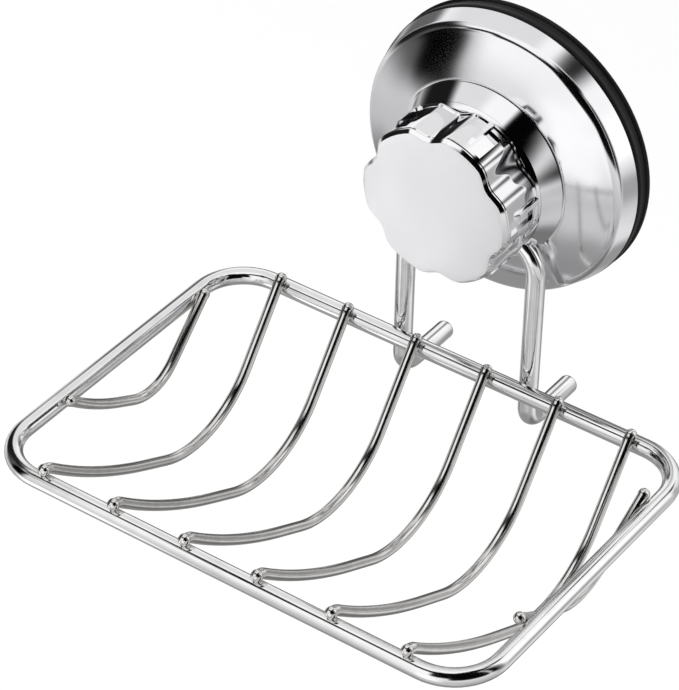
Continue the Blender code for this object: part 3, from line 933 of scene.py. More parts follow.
@dataclass
class ShellCover:
    """The pressed chrome cover: a tapered band, a shallow dome, a flat land and a neck."""

    span: Span = span_of("shell_cover")
    collar: Span = span_of("neck_collar")
    wall: float = 0.0008
    band_height: float = 0.0052
    band_taper: float = 0.0014
    edge_round: float = 0.0010
    soft_round: float = 0.0030
    round_steps: int = 12
    dome_rise: float = 0.0039
    dome_crown: float = 0.0003
    dome_steps: int = 14
    land_inset: float = 0.0001
    neck_radius: float = 0.0140
    hem: float = 0.0003
    corners: int = 256
    smooth_angle: float = math.radians(35)

    def outer_outline(self) -> Outline:
        """The outer line from the rear edge to the neck's end.

        Returns:
            The radius of each ring, and how far out it is.
        """
        rear, radius = self.span.rear, self.span.radius
        band_lean = math.atan2(self.band_taper, self.band_height)
        band = (radius - self.band_taper, rear + self.band_height, band_lean)
        dome_radius = band[0] - self.edge_round
        dome_out = band[1] + self.edge_round
        land = self.collar.radius - self.land_inset
        land_out = dome_out + self.dome_rise
        dome = (dome_radius, dome_out, QUARTER - math.atan2(self.dome_rise, dome_radius - land))
        outline = [(radius - self.hem, rear), (radius, rear + self.hem)]
        outline += arc(self.corner_centre(band, dome), self.soft_round, band_lean, dome[2],
                       self.round_steps)
        edge, edge_out = outline[-1]
        for step in range(1, self.dome_steps + 1):
            share = step / self.dome_steps
            bulge = self.dome_crown * math.sin(share * math.pi)
            outline.append((edge + (land - edge) * share,
                            edge_out + (land_out - edge_out) * share + bulge))
        return [*outline, (self.neck_radius + self.hem, land_out), (self.neck_radius, land_out + self.hem),
                (self.neck_radius, self.span.front)]

    def corner_centre(self, band: Sequence[float], dome: Sequence[float]) -> tuple[float, float]:
        """Centre of the round between the band's line and the dome's line.

        Args:
            band: A point's radius, how far out it is, and how far the band leans outward there.
            dome: The same of the dome.

        Returns:
            The centre, as a radius and how far out it is.
        """
        (band_radius, band_out, band_lean), (dome_radius, dome_out, dome_lean) = band, dome
        band_reach = band_radius * math.cos(band_lean) + band_out * math.sin(band_lean) - self.soft_round
        dome_reach = dome_radius * math.cos(dome_lean) + dome_out * math.sin(dome_lean) - self.soft_round
        turn = math.sin(dome_lean - band_lean)
        radius = (band_reach * math.sin(dome_lean) - dome_reach * math.sin(band_lean)) / turn
        out = (dome_reach * math.cos(band_lean) - band_reach * math.cos(dome_lean)) / turn
        return radius, out

    def build(self) -> Piece:
        """Model the cover as a turned skin and give it its wall.

        Returns:
            The cover.
        """
        outline = self.outer_outline()
        shell = Turned("chrome_shell", *outline[0], self.corners)
        shell.rings(outline[1:])
        obj = shell.done(self.smooth_angle)
        modify(obj, "SOLIDIFY", thickness=self.wall, offset=-1, use_even_offset=True)
        shade(obj, self.smooth_angle)
        return obj

    def make(self) -> None:
        """Build and dress the cover."""
        hand_over(self.build(), SHELL_PLATING.material(), Body.DISH, "shell_cover")


# Hanger and collar


@dataclass
class Hanger:
    """The rod from wall stub to wall stub: stub, hook, leg, loop round the neck, and back."""

    rail: Span = span_of("rim_rail")
    wire_radius: float = 0.0024
    gap: float = 0.0003
    half_width: float = 0.0185
    hook_radius: float = 0.0054
    stub_drop: float = 0.0132
    bend_radius: float = 0.0090
    return_radius: float = 0.0040
    return_angle: float = math.radians(56)
    neck_radius: float = 0.0140
    end_round: float = 0.0012
    end_steps: int = 6
    corners: int = 40
    smooth_angle: float = math.radians(60)

    @property
    def plane_out(self) -> float:
        """How far out the legs' plane lies, behind the rear rail."""
        return self.rail.rear - self.gap - self.wire_radius

    @property
    def loop_radius(self) -> float:
        """The centreline radius of the loop round the neck."""
        return self.neck_radius + self.gap + self.wire_radius

    def return_centre(self) -> Vector:
        """Centre of the bend that leads a leg back round the neck, across and up."""
        reach = self.loop_radius + self.return_radius
        return reach * Vector((math.sin(self.return_angle), -math.cos(self.return_angle)))

    def lean(self) -> float:
        """How far a leg leans inward before its bend reverses."""
        across = self.return_centre().x - self.half_width + self.bend_radius
        return math.acos(across / (self.bend_radius + self.return_radius))

    def crossing(self) -> tuple[Vector, float]:
        """Where a leg crosses the collar's wall, across and up, and its lean there."""
        lean = self.lean()
        return self.return_centre() - self.return_radius * Vector((math.cos(lean), math.sin(lean))), lean

    def build(self) -> Piece:
        """Draw the rod from one stub to the other.

        Returns:
            The rod.
        """
        lean, centre = self.lean(), self.return_centre()
        tangent = math.atan2(centre.y, centre.x)
        stub_up = self.rail.middle.z - self.stub_drop
        bend_up = centre.y - (self.bend_radius + self.return_radius) * math.sin(lean)
        leg = bend_up - stub_up - self.hook_radius
        stub = self.plane_out - self.hook_radius - self.end_round
        tip = self.wire_radius - self.end_round
        into_loop = [Bend(-lean, self.bend_radius), Bend(lean - tangent, self.return_radius)]
        loop = Bend(2 * tangent - math.pi, self.loop_radius)
        wire = Wire("hanger_rod", Vector((self.half_width, 0, stub_up)), OUTWARD, tip, self.corners)
        wire.close_start()
        self.round_end(wire, opening=True)
        wire.follow([Straight(stub), Bend(-QUARTER, self.hook_radius), Straight(leg)], RIGHT)
        wire.follow([*into_loop, loop, *reversed(into_loop)], HUB_AXIS)
        wire.follow([Straight(leg), Bend(QUARTER, self.hook_radius), Straight(stub)], RIGHT)
        self.round_end(wire, opening=False)
        wire.close_end()
        return wire.done(self.smooth_angle)

    def round_end(self, wire: Wire, opening: bool) -> None:
        """Round a cut end of the rod.

        Args:
            wire: The rod.
            opening: Whether the rounding goes from the end's flat to the rod's side.
        """
        travelled = 0.0
        for step in range(1, self.end_steps + 1):
            angle = QUARTER * step / self.end_steps
            rise, fall = math.sin(angle), math.cos(angle)
            along = self.end_round * (1 - fall if opening else rise)
            radius = self.wire_radius - self.end_round * (1 - (rise if opening else fall))
            wire.run(along - travelled, radius)
            travelled = along

    def make(self) -> None:
        """Build and dress the hanger."""
        hand_over(self.build(), HANGER_STEEL.material(), Body.DISH, "hanger_wire")


@dataclass
class NeckCollar:
    """The plated collar over the hanger's loop, with a notch for each leg."""

    span: Span = span_of("neck_collar")
    hanger: Hanger = field(default_factory=Hanger)
    wall: float = 0.0012
    plate: float = 0.0012
    taper: float = 0.0028
    shoulder_height: float = 0.0044
    shoulder_round: float = 0.0012
    shoulder_steps: int = 4
    shoulder_end_share: float = 0.35
    front_taper: float = 0.0008
    bore: float = 0.0043
    edge: float = 0.0003
    notch_ease: float = 0.0006
    notch_length: float = 0.0090
    notch_edge: float = 0.00012
    overrun: float = 0.0020
    turned_angle: float = math.radians(40)
    soften_angle: float = math.radians(50)
    smooth_angle: float = math.radians(35)

    def build(self) -> Piece:
        """Model the collar and cut its notches.

        Returns:
            The collar.
        """
        rear, front, radius = self.span.rear, self.span.front, self.span.radius
        shoulder = radius - self.taper
        room = radius - self.wall
        plate_out = front - self.plate
        plate_room = room - self.taper / self.shoulder_height * (plate_out - rear)
        lean = math.atan2(self.taper, self.shoulder_height)
        middle = (shoulder - self.shoulder_round * ROUND_INSET_SHARE, rear + self.shoulder_height)
        nose = shoulder - self.front_taper
        collar = Turned("chrome_collar", room, rear)
        collar.rings([(radius - self.edge, rear), (radius, rear + self.edge)])
        collar.rings(arc(middle, self.shoulder_round, lean, lean * self.shoulder_end_share,
                         self.shoulder_steps))
        collar.rings([(nose, front - self.edge), (nose - self.edge, front), (self.bore, front)])
        collar.rings([(self.bore, plate_out), (plate_room, plate_out), (room, rear)])
        obj = collar.done(self.turned_angle)
        for side in (-1, 1):
            combine(obj, self.notch_shape(side, plate_out), "DIFFERENCE")
        soften(obj, self.notch_edge, self.soften_angle)
        shade(obj, self.smooth_angle)
        return obj

    def notch_shape(self, side: int, plate_out: float) -> Piece:
        """The cutter for one leg's notch.

        Args:
            side: -1 for the left leg and 1 for the right one.
            plate_out: How far out the collar's plate starts.

        Returns:
            The cutter.
        """
        crossing, lean = self.hanger.crossing()
        width = 2 * (self.hanger.wire_radius + self.notch_ease)
        depth = plate_out - self.span.rear + self.overrun
        out = (self.span.rear + plate_out - self.overrun) / 2
        return add_primitive(bpy.ops.mesh.primitive_cube_add, "notch", size=1,
                             scale=(self.notch_length, depth, width),
                             location=(side * crossing.x, -out, crossing.y),
                             rotation=(0, -side * (QUARTER + lean), 0))

    def make(self) -> None:
        """Build and dress the collar."""
        hand_over(self.build(), COLLAR_PLATING.material(), Body.DISH, "neck_collar")


# Knob


@dataclass
class Knob:
    """The lobed knob: a body with ribs and panels, and a flat cap."""

    body: Span = span_of("knob_body")
    cap: Span = span_of("knob_face")
    radius: float = 0.0203
    columns: int = 288
    lobes: int = 6
    lobe_angle: float = math.radians(7)
    notch_depth: float = 0.0018
    notch_half_angle: float = math.radians(17)
    share_steps: int = 1000
    edge: float = 0.0002
    lip: float = 0.0004
    lip_length: float = 0.0009
    wall: float = 0.0023
    plate: float = 0.0022
    boss_wall: float = 0.0027
    boss_gap: float = 0.0014
    bore: float = 0.0043
    pocket_gap: float = 0.0003
    pocket_plate: float = 0.0012
    rib_angle: float = math.radians(10)
    rib_width: float = 0.0015
    rib_height: float = 0.0009
    rib_root: float = 0.0012
    rib_rear_gap: float = 0.0005
    rib_point: float = 0.0038
    rib_edge: float = 0.00016
    rib_edge_steps: int = 3
    rib_soften_angle: float = math.radians(25)
    panel_angle: float = math.radians(3.5)
    panel_width: float = 0.0037
    panel_depth: float = 0.0007
    panel_rear_gap: float = 0.0022
    panel_front_gap: float = 0.0010
    overrun: float = 0.0020
    cap_inset: float = 0.0001
    cap_thickness: float = 0.0012
    cap_edge: float = 0.0003
    cap_bevel: float = 0.00070
    cap_round: float = 0.00010
    cap_round_steps: int = 5
    cap_crown: float = 0.00002
    cap_crown_width: float = 0.0012
    cap_plain_width: float = 0.0040
    seam_ease: float = 0.0002
    flatness: float = 0.97
    spigot_radius: float = 0.0050
    nut_sides: int = 6
    turned_angle: float = math.radians(40)
    body_smooth_angle: float = math.radians(30)
    cap_smooth_angle: float = math.radians(20)

    def notch_share(self, angle: float) -> float:
        """How deep a notch is at an angle round the knob.

        Args:
            angle: The angle.

        Returns:
            0 on a lobe to 1 in a notch.
        """
        spacing = TURN / self.lobes
        from_notch = (angle - self.lobe_angle) % spacing - spacing / 2
        reach = abs(from_notch) / self.notch_half_angle
        return (1 + math.cos(math.pi * reach)) / 2 if reach < 1 else 0

    def column(self, place: Vector) -> int:
        """Which column of corners round the knob a corner is in."""
        return round(math.atan2(place.z, place.x) % TURN / TURN * self.columns) % self.columns

    def press_notches(self, piece: Workpiece, skin_radius: float) -> None:
        """Press the six grip notches into a piece's skin.

        Args:
            piece: The piece, in edit mode.
            skin_radius: Corners outside this radius move.
        """
        columns_at: dict[int, set[int]] = {}
        for column in range(self.columns):
            share = self.notch_share(TURN * column / self.columns)
            if share > 0:
                columns_at.setdefault(round(share * self.share_steps), set()).add(column)
        for steps, chosen in columns_at.items():
            piece.pick(lambda place: math.hypot(place.x, place.z) >= skin_radius
                       and self.column(place) in chosen)
            factor = 1 - steps / self.share_steps * self.notch_depth / self.radius
            piece.scale(Vector((factor, 1, factor)), Vector((0, 0, 0)))

    def bar(self, name: str, radii: tuple[float, float], outs: tuple[float, float], width: float,
            angle: float) -> Piece:
        """Add a bar that lies along the knob's side.

        Args:
            name: The bar's name.
            radii: Its inner and its outer radius.
            outs: How far out it starts and ends.
            width: Its width.
            angle: Its place round the knob.

        Returns:
            The bar.
        """
        size = (radii[1] - radii[0], outs[1] - outs[0], width)
        middle = Vector((sum(radii) / 2, -sum(outs) / 2, 0))
        return add_primitive(bpy.ops.mesh.primitive_cube_add, name, size=1, scale=size,
                             location=Matrix.Rotation(-angle, 3, HUB_AXIS) @ middle,
                             rotation=(0, -angle, 0))

    def build_body(self) -> Piece:
        """Model the knob's body with its grip, ribs, panels and nut pocket.

        Returns:
            The body.
        """
        rear, front, edge = self.body.rear, self.body.front + self.seam_ease, self.edge
        inside = self.radius - self.notch_depth - self.wall
        boss = self.spigot_radius + self.pocket_gap + self.boss_wall
        boss_rear = rear + self.boss_gap
        plate_rear = front - self.plate
        lip = self.radius + self.lip
        lip_front = rear + self.lip_length
        knob = Turned("chrome_knob", self.bore, boss_rear, self.columns)
        knob.rings([(boss, boss_rear), (boss, plate_rear), (inside, plate_rear), (inside, rear)])
        knob.rings([(lip - edge, rear), (lip, rear + edge), (lip, lip_front - edge)])
        knob.rings([(lip - edge, lip_front), (self.radius, lip_front + edge), (self.radius, front - edge)])
        knob.rings([(self.radius - edge, front), (self.bore, front), (self.bore, boss_rear)])
        self.press_notches(knob, inside + self.wall / 2)
        obj = knob.done(self.turned_angle)
        for shape, operation in ((self.rib_shape(rear, front), "UNION"),
                                 (self.panel_shape(rear, front), "DIFFERENCE")):
            turned_copies(shape, self.lobes)
            combine(obj, shape, operation)
        combine(obj, self.pocket_shape(boss_rear), "DIFFERENCE")
        mend(obj)
        shade(obj, self.body_smooth_angle)
        return obj

    def rib_shape(self, rear: float, front: float) -> Piece:
        """A rib, pointed towards the front and rounded along its top.

        Args:
            rear: How far out the body starts.
            front: How far out it ends.

        Returns:
            The rib.
        """
        radii = (self.radius - self.rib_root, self.radius + self.rib_height)
        low, high = rear + self.rib_rear_gap, front - self.rib_point
        rib = self.bar("knob_ribs", radii, (low, high), self.rib_width, self.rib_angle)
        bpy.ops.object.mode_set(mode="EDIT")
        pick_corners(rib, lambda place: math.hypot(place.x, place.z) < self.radius
                     and -place.y > (low + high) / 2)
        bpy.ops.transform.translate(value=OUTWARD * (self.rib_point - self.pocket_gap))
        bpy.ops.object.mode_set(mode="OBJECT")
        soften(rib, self.rib_edge, self.rib_soften_angle, self.rib_edge_steps)
        return rib

    def panel_shape(self, rear: float, front: float) -> Piece:
        """The cutter for a shallow flat panel beside a rib.

        Args:
            rear: How far out the body starts.
            front: How far out it ends.

        Returns:
            The cutter.
        """
        floor = self.radius - self.panel_depth
        outs = (rear + self.panel_rear_gap, front - self.panel_front_gap)
        return self.bar("knob_panels", (floor, floor + self.overrun), outs, self.panel_width,
                        self.panel_angle)

    def pocket_shape(self, boss_rear: float) -> Piece:
        """The cutter for the nut's six-sided pocket.

        Args:
            boss_rear: How far out the nut's boss starts.

        Returns:
            The cutter.
        """
        rear = boss_rear + self.pocket_plate
        length = self.body.front + self.overrun - rear
        half_side = math.pi / self.nut_sides
        corner = (self.spigot_radius + self.pocket_gap) / math.cos(half_side)
        return add_primitive(bpy.ops.mesh.primitive_cylinder_add, "pocket", vertices=self.nut_sides,
                             radius=corner, depth=length, location=OUTWARD * (rear + length / 2),
                             rotation=(QUARTER, half_side, 0))

    def build_cap(self) -> Piece:
        """Model the flat cap with its bevelled rim and its spigot.

        Returns:
            The cap.
        """
        front, spigot = self.cap.front, self.spigot_radius
        rear = front - self.cap_thickness
        radius = self.radius - self.cap_inset
        face = radius - self.cap_bevel
        crown = front + self.cap_crown
        lean = math.atan2(self.cap_bevel, self.cap_thickness - self.cap_edge)
        middle = (face - self.cap_round * ROUND_INSET_SHARE, front - self.cap_round)
        cap = Turned("chrome_cap", spigot * POLE_SHARE, self.cap.rear, self.columns)
        cap.close_start()
        cap.rings([(spigot, self.cap.rear), (spigot, rear), (radius, rear), (radius, rear + self.cap_edge)])
        cap.rings(arc(middle, self.cap_round, lean, QUARTER, self.cap_round_steps))
        cap.rings([(face - self.cap_crown_width, crown), (face - self.cap_plain_width, crown),
                   (spigot, crown), (spigot * POLE_SHARE, crown)])
        cap.close_end()
        self.press_notches(cap, (spigot + radius) / 2)
        return cap.done(self.cap_smooth_angle)

    def make(self) -> None:
        """Build and dress the body and the cap."""
        hand_over(self.build_body(), KNOB_PLATING.material(), Body.KNOB, "knob_body")
        cap = self.build_cap()
        hand_over(cap, CAP_PLATING.material(), Body.KNOB, "knob_face")
        cap.data.materials.append(CAP_SATIN.material())
        for face in cap.data.polygons:
            face.material_index = int(face.normal.y < -self.flatness)


# Basket


@dataclass
class Basket:
    """The welded wire basket: rim rail, cross wires and side wires."""

    rail: Span = span_of("rim_rail")
    rail_radius: float = 0.00225
    wire_radius: float = 0.00135
    tip_radius: float = 0.0015
    tip_steps: int = 7
    tip_flat_ratio: float = 3
    length: float = 0.1350
    depth: float = 0.0946
    corner_radius: float = 0.0130
    weld_gap: float = 0.0001
    cross_wires: int = 6
    cross_end_gap: float = 0.01625
    cross_front_angle: float = math.radians(39.5)
    cross_front_run: float = 0.0020
    cross_ease_radius: float = 0.1670
    cross_ease_angle: float = math.radians(26)
    cross_floor_radius: float = 0.0266
    cross_rear_angle: float = math.radians(54)
    cross_rear_tip_angle: float = math.radians(25)
    side_tip_rise: float = 0.0018
    side_front_tip: float = 0.0254
    side_rear_tip: float = 0.0165
    side_front_angle: float = math.radians(39)
    side_front_run: float = 0.0015
    side_ease_radius: float = 0.0800
    side_ease_angle: float = math.radians(26)
    side_rear_angle: float = math.radians(38.5)
    side_floor_radius: float = 0.0150
    side_lean: float = math.radians(6)
    rail_corners: int = 40
    wire_corners: int = 24
    smooth_angle: float = math.radians(60)

    @property
    def tip_distance(self) -> float:
        """From the rail's axis to the centre of a ball that rests on it."""
        return self.rail_radius + self.tip_radius + self.weld_gap

    @property
    def wrap_radius(self) -> float:
        """From the rail's axis to the axis of a wire that rests on it."""
        return self.rail_radius + self.wire_radius + self.weld_gap

    @property
    def leave(self) -> float:
        """How steeply a cross wire leaves its end balls."""
        return math.acos(self.wrap_radius / self.tip_distance)

    @property
    def stem(self) -> float:
        """From a ball's centre to where its wire leaves it."""
        return math.sqrt(self.tip_radius ** 2 - self.wire_radius ** 2)

    @property
    def pitch(self) -> float:
        """From one cross wire to the next."""
        return (self.length - 2 * self.cross_end_gap) / (self.cross_wires - 1)

    def rail_piece(self) -> Piece:
        """Draw the closed rim.

        Returns:
            The rim.
        """
        long_run = self.length - 2 * self.corner_radius
        short_run = self.depth - 2 * self.corner_radius
        start = self.rail.middle + Vector((-long_run / 2, -self.depth / 2, 0))
        corner = Bend(QUARTER, self.corner_radius)
        wire = Wire("rim_rail_bright", start, RIGHT, self.rail_radius, self.rail_corners)
        wire.follow([Straight(long_run), corner, Straight(short_run), corner] * 2, UP)
        return wire.done(self.smooth_angle)

    def ball_sections(self) -> Outline:
        """Sections of the ball at a wire's end, from its tip to the wire.

        Returns:
            How far along the wire each is from the ball's centre, and its radius.
        """
        leave = math.pi - math.asin(self.wire_radius / self.tip_radius)
        first = leave / self.tip_steps / self.tip_flat_ratio
        angles = [first + (leave - first) * step / self.tip_steps for step in range(self.tip_steps + 1)]
        return [(-self.tip_radius * math.cos(angle), self.tip_radius * math.sin(angle)) for angle in angles]

    def wire_piece(self, name: str, centre: Vector, heading: Vector, moves: Moves, axis: Vector) -> Piece:
        """Draw a wire with a ball at each end.

        Args:
            name: The wire's name.
            centre: The first ball's centre.
            heading: The direction that the wire starts in.
            moves: The runs and bends between the balls.
            axis: The direction that every bend turns about.

        Returns:
            The wire.
        """
        sections = self.ball_sections()
        along, radius = sections[0]
        wire = Wire(name, centre + heading * along, heading, radius, self.wire_corners)
        wire.close_start()
        for (before, _), (after, radius) in zip(sections, sections[1:]):
            wire.run(after - before, radius)
        wire.follow(moves, axis)
        sections.reverse()
        for (before, _), (after, radius) in zip(sections, sections[1:]):
            wire.run(before - after, radius)
        wire.close_end()
        return wire.done(self.smooth_angle)

    def cross_moves(self, middle_run: float, rear_run: float, stem: float) -> Moves:
        """The runs and bends of a cross wire, from its front ball to its rear ball.

        Args:
            middle_run: The length of the run down to the floor.
            rear_run: The length of the run up from the floor.
            stem: How much of the wire each ball takes in.

        Returns:
            The runs and bends.
        """
        off_tip = math.sqrt(self.tip_distance ** 2 - self.wrap_radius ** 2) - stem
        return [Straight(off_tip), Bend(self.leave - self.cross_front_angle, self.wrap_radius),
                Straight(self.cross_front_run),
                Bend(self.cross_front_angle - self.cross_ease_angle, self.cross_ease_radius),
                Straight(middle_run),
                Bend(self.cross_ease_angle + self.cross_rear_angle, self.cross_floor_radius),
                Straight(rear_run),
                Bend(self.leave + self.cross_rear_tip_angle - self.cross_rear_angle, self.wrap_radius),
                Straight(off_tip)]

    def cross_piece(self) -> Piece:
        """Draw the first cross wire, down from the front rail to the floor and up to the rear rail.

        Returns:
            The wire.
        """
        lean = self.cross_rear_tip_angle
        rear_tip = Vector((self.depth, 0)) + self.tip_distance * Vector((-math.sin(lean), math.cos(lean)))
        gap = rear_tip - route_end(self.tip_distance, -self.leave, self.cross_moves(0, 0, 0))
        runs = closing_runs(gap, -self.cross_ease_angle, self.cross_rear_angle)
        across = self.cross_end_gap - self.length / 2
        centre = self.rail.middle + Vector((across, -self.depth / 2, self.tip_distance))
        heading = Matrix.Rotation(-self.leave, 3, RIGHT) @ INWARD
        moves = self.cross_moves(*runs, self.stem)
        return self.wire_piece("cross_wire_bright_1", centre, heading, moves, RIGHT)

    def side_moves(self, middle_run: float, rear_run: float, stem: float) -> Moves:
        """The runs and bends of a side wire, from its front ball to its rear ball.

        Args:
            middle_run: The length of the run down to the floor.
            rear_run: The length of the run up from the floor.
            stem: How much of the wire each ball takes in.

        Returns:
            The runs and bends.
        """
        return [Straight(self.side_front_run - stem),
                Bend(self.side_front_angle - self.side_ease_angle, self.side_ease_radius),
                Straight(middle_run),
                Bend(self.side_ease_angle + self.side_rear_angle, self.side_floor_radius),
                Straight(rear_run - stem)]

    def side_piece(self, name: str, side: int) -> Piece:
        """Draw a side wire inside one end of the rim.

        Args:
            name: The wire's name.
            side: -1 for the left end and 1 for the right end.

        Returns:
            The wire.
        """
        span = Vector((self.depth - self.side_front_tip - self.side_rear_tip, 0))
        gap = span - route_end(0, -self.side_front_angle, self.side_moves(0, 0, 0))
        runs = closing_runs(gap, -self.side_ease_angle, self.side_rear_angle)
        inset = math.sqrt(self.tip_distance ** 2 - self.side_tip_rise ** 2)
        centre = self.rail.middle + Vector((side * (self.length / 2 - inset),
                                            self.side_front_tip - self.depth / 2, self.side_tip_rise))
        axis = Matrix.Rotation(side * self.side_lean, 3, INWARD) @ RIGHT
        heading = Matrix.Rotation(-self.side_front_angle, 3, axis) @ INWARD
        return self.wire_piece(name, centre, heading, self.side_moves(*runs, self.stem), axis)

    def make(self) -> None:
        """Build and dress the basket."""
        hand_over(self.rail_piece(), RAIL_STEEL.material(), Body.DISH, "rim_rail")
        # The wires' finish is the darker, warmer steel that carries painted shade.
        finish = WIRE_STEEL.material()
        wires = {"cross_wire_1": self.cross_piece()}
        for index in range(1, self.cross_wires):
            move = Matrix.Translation(RIGHT * self.pitch * index)
            name = f"cross_wire_bright_{index + 1}"
            wires[f"cross_wire_{index + 1}"] = copy_moved(wires["cross_wire_1"], name, move)
        wires["side_wire_left"] = self.side_piece("side_wire_bright_left", -1)
        wires["side_wire_right"] = self.side_piece("side_wire_bright_right", 1)
        for node, wire in wires.items():
            hand_over(wire, finish, Body.DISH, node)


@dataclass
class HiddenWorks:
    """The pieces inside the cup, which keep their CAD shapes: frame, stud, washer and nut."""

    finishes: dict[str, Finish] = field(default_factory=lambda: {
        "pressure_frame": FRAME_PLASTIC, "thrust_washer": WASHER_NYLON,
        "pad_stud": STUD_ZINC, "nut_insert": NUT_BRASS})

    def make(self) -> None:
        """Dress the hidden pieces."""
        for node, finish in self.finishes.items():
            dress(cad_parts[node], finish.material())
            LOG.info("%s keeps its CAD shape", node)


# Studio and camera


@dataclass(frozen=True)
class Screen:
    """A part of the light tent that differs from its walls.

    Azimuths are in degrees from the user's side, growing to the right, and elevations are in
    degrees above the horizon, both as seen from the tent's centre.
    """

    name: str
    left: float
    right: float
    bottom: float
    top: float
    brightness: float
    side_blur: float = 4
    rise_blur: float = 4


SCREENS = (
    Screen("back_left_sky", -185, -85, 30, 80, 0.92, 8, 8),
    Screen("bright_front_wall", -8, 26, -27, 14, 1.05, 8, 8),
    Screen("bright_low_left", -75, -20, -45, -36, 0.84, 14, 5),
    Screen("knob_card", -54, -33, -42, -18, 1.16, 6, 6),
    Screen("bright_low_right", 105, 160, -45, -25, 0.92, 14, 8),
    Screen("low_front_fill", -10, 58, -50, -33, 0.82, 12, 6),
    Screen("low_back_shade", 148, 178, -62, -6, 0.60, 6, 6),
    Screen("low_right_dark", 100, 178, -74, -52, 0.48, 8, 5),
    Screen("low_left_shade", -112, -86, -50, -30, 0.50, 6, 6),
    Screen("left_curtain", -114, -64, 2, 44, 0.13, 5, 6),
    Screen("left_flag_fade", -78, -46, -10, 30, 0.35, 14, 8),
    Screen("left_flag", -63, -45, -8, 28, 0.02, 4, 8),
    Screen("camera_opening_edge", 12, 38, 18, 70, 0.05, 4, 6),
    Screen("camera_opening", 36, 84, 3, 70, 0.05, 3, 4),
    Screen("upper_right_flag", 66, 119, 53, 73, 0.05),
    Screen("right_curtain_fade", 95, 106, -12, 48, 0.45, 6, 8),
    Screen("right_curtain", 88, 98, 2, 50, 0.05, 3, 8),
    Screen("right_low_shade", 112, 130, -18, -3, 0.66, 4, 5),
    Screen("upper_back_flag", 126, 150, 52, 64, 0.12, 8, 6),
    Screen("back_left_flag", -178, -162, -8, 20, 0.42, 4, 4),
    Screen("back_left_shade", -178, -161, 20, 36, 0.60, 4, 4),
    Screen("back_left_edge", -168, -136, -32, 2, 0.36, 4, 6),
    Screen("back_left_bar", -134, -117, -3, 23, 0.40, 3, 4),
    Screen("back_right_shade", 134, 144, -30, 12, 0.70),
    Screen("right_back_card", 110, 133, 6, 34, 1.08, 5, 5),
    Screen("back_right_post", 141, 156, 22, 34, 0.36, 3, 4),
    Screen("back_right_bar", 147, 161, 42, 48, 0.05, 3, 2),
)


@dataclass(frozen=True)
class RoofBar:
    """A dark bar along the tent's roof, placed in shares of the tent's radius."""

    name: str
    outer: float
    inner: float
    left: float
    right: float


ROOF_BARS = (
    RoofBar("roof_bar_left", -0.50, -0.31, -0.68, -0.38),
    RoofBar("roof_bar_right", -0.64, -0.41, -0.46, 0.36),
)


def add_stage(kind: Callable, name: str, material: Material, **settings: object) -> Piece:
    """Add a thing of the studio, which isn't part of the object.

    Args:
        kind: The operator that adds it.
        name: Its name.
        material: Its material.
        settings: The operator's settings.

    Returns:
        The new object.
    """
    bpy.ops.object.select_all(action="DESELECT")
    kind(**settings)
    obj = bpy.context.object
    obj.name = name
    dress(obj, material)
    return obj


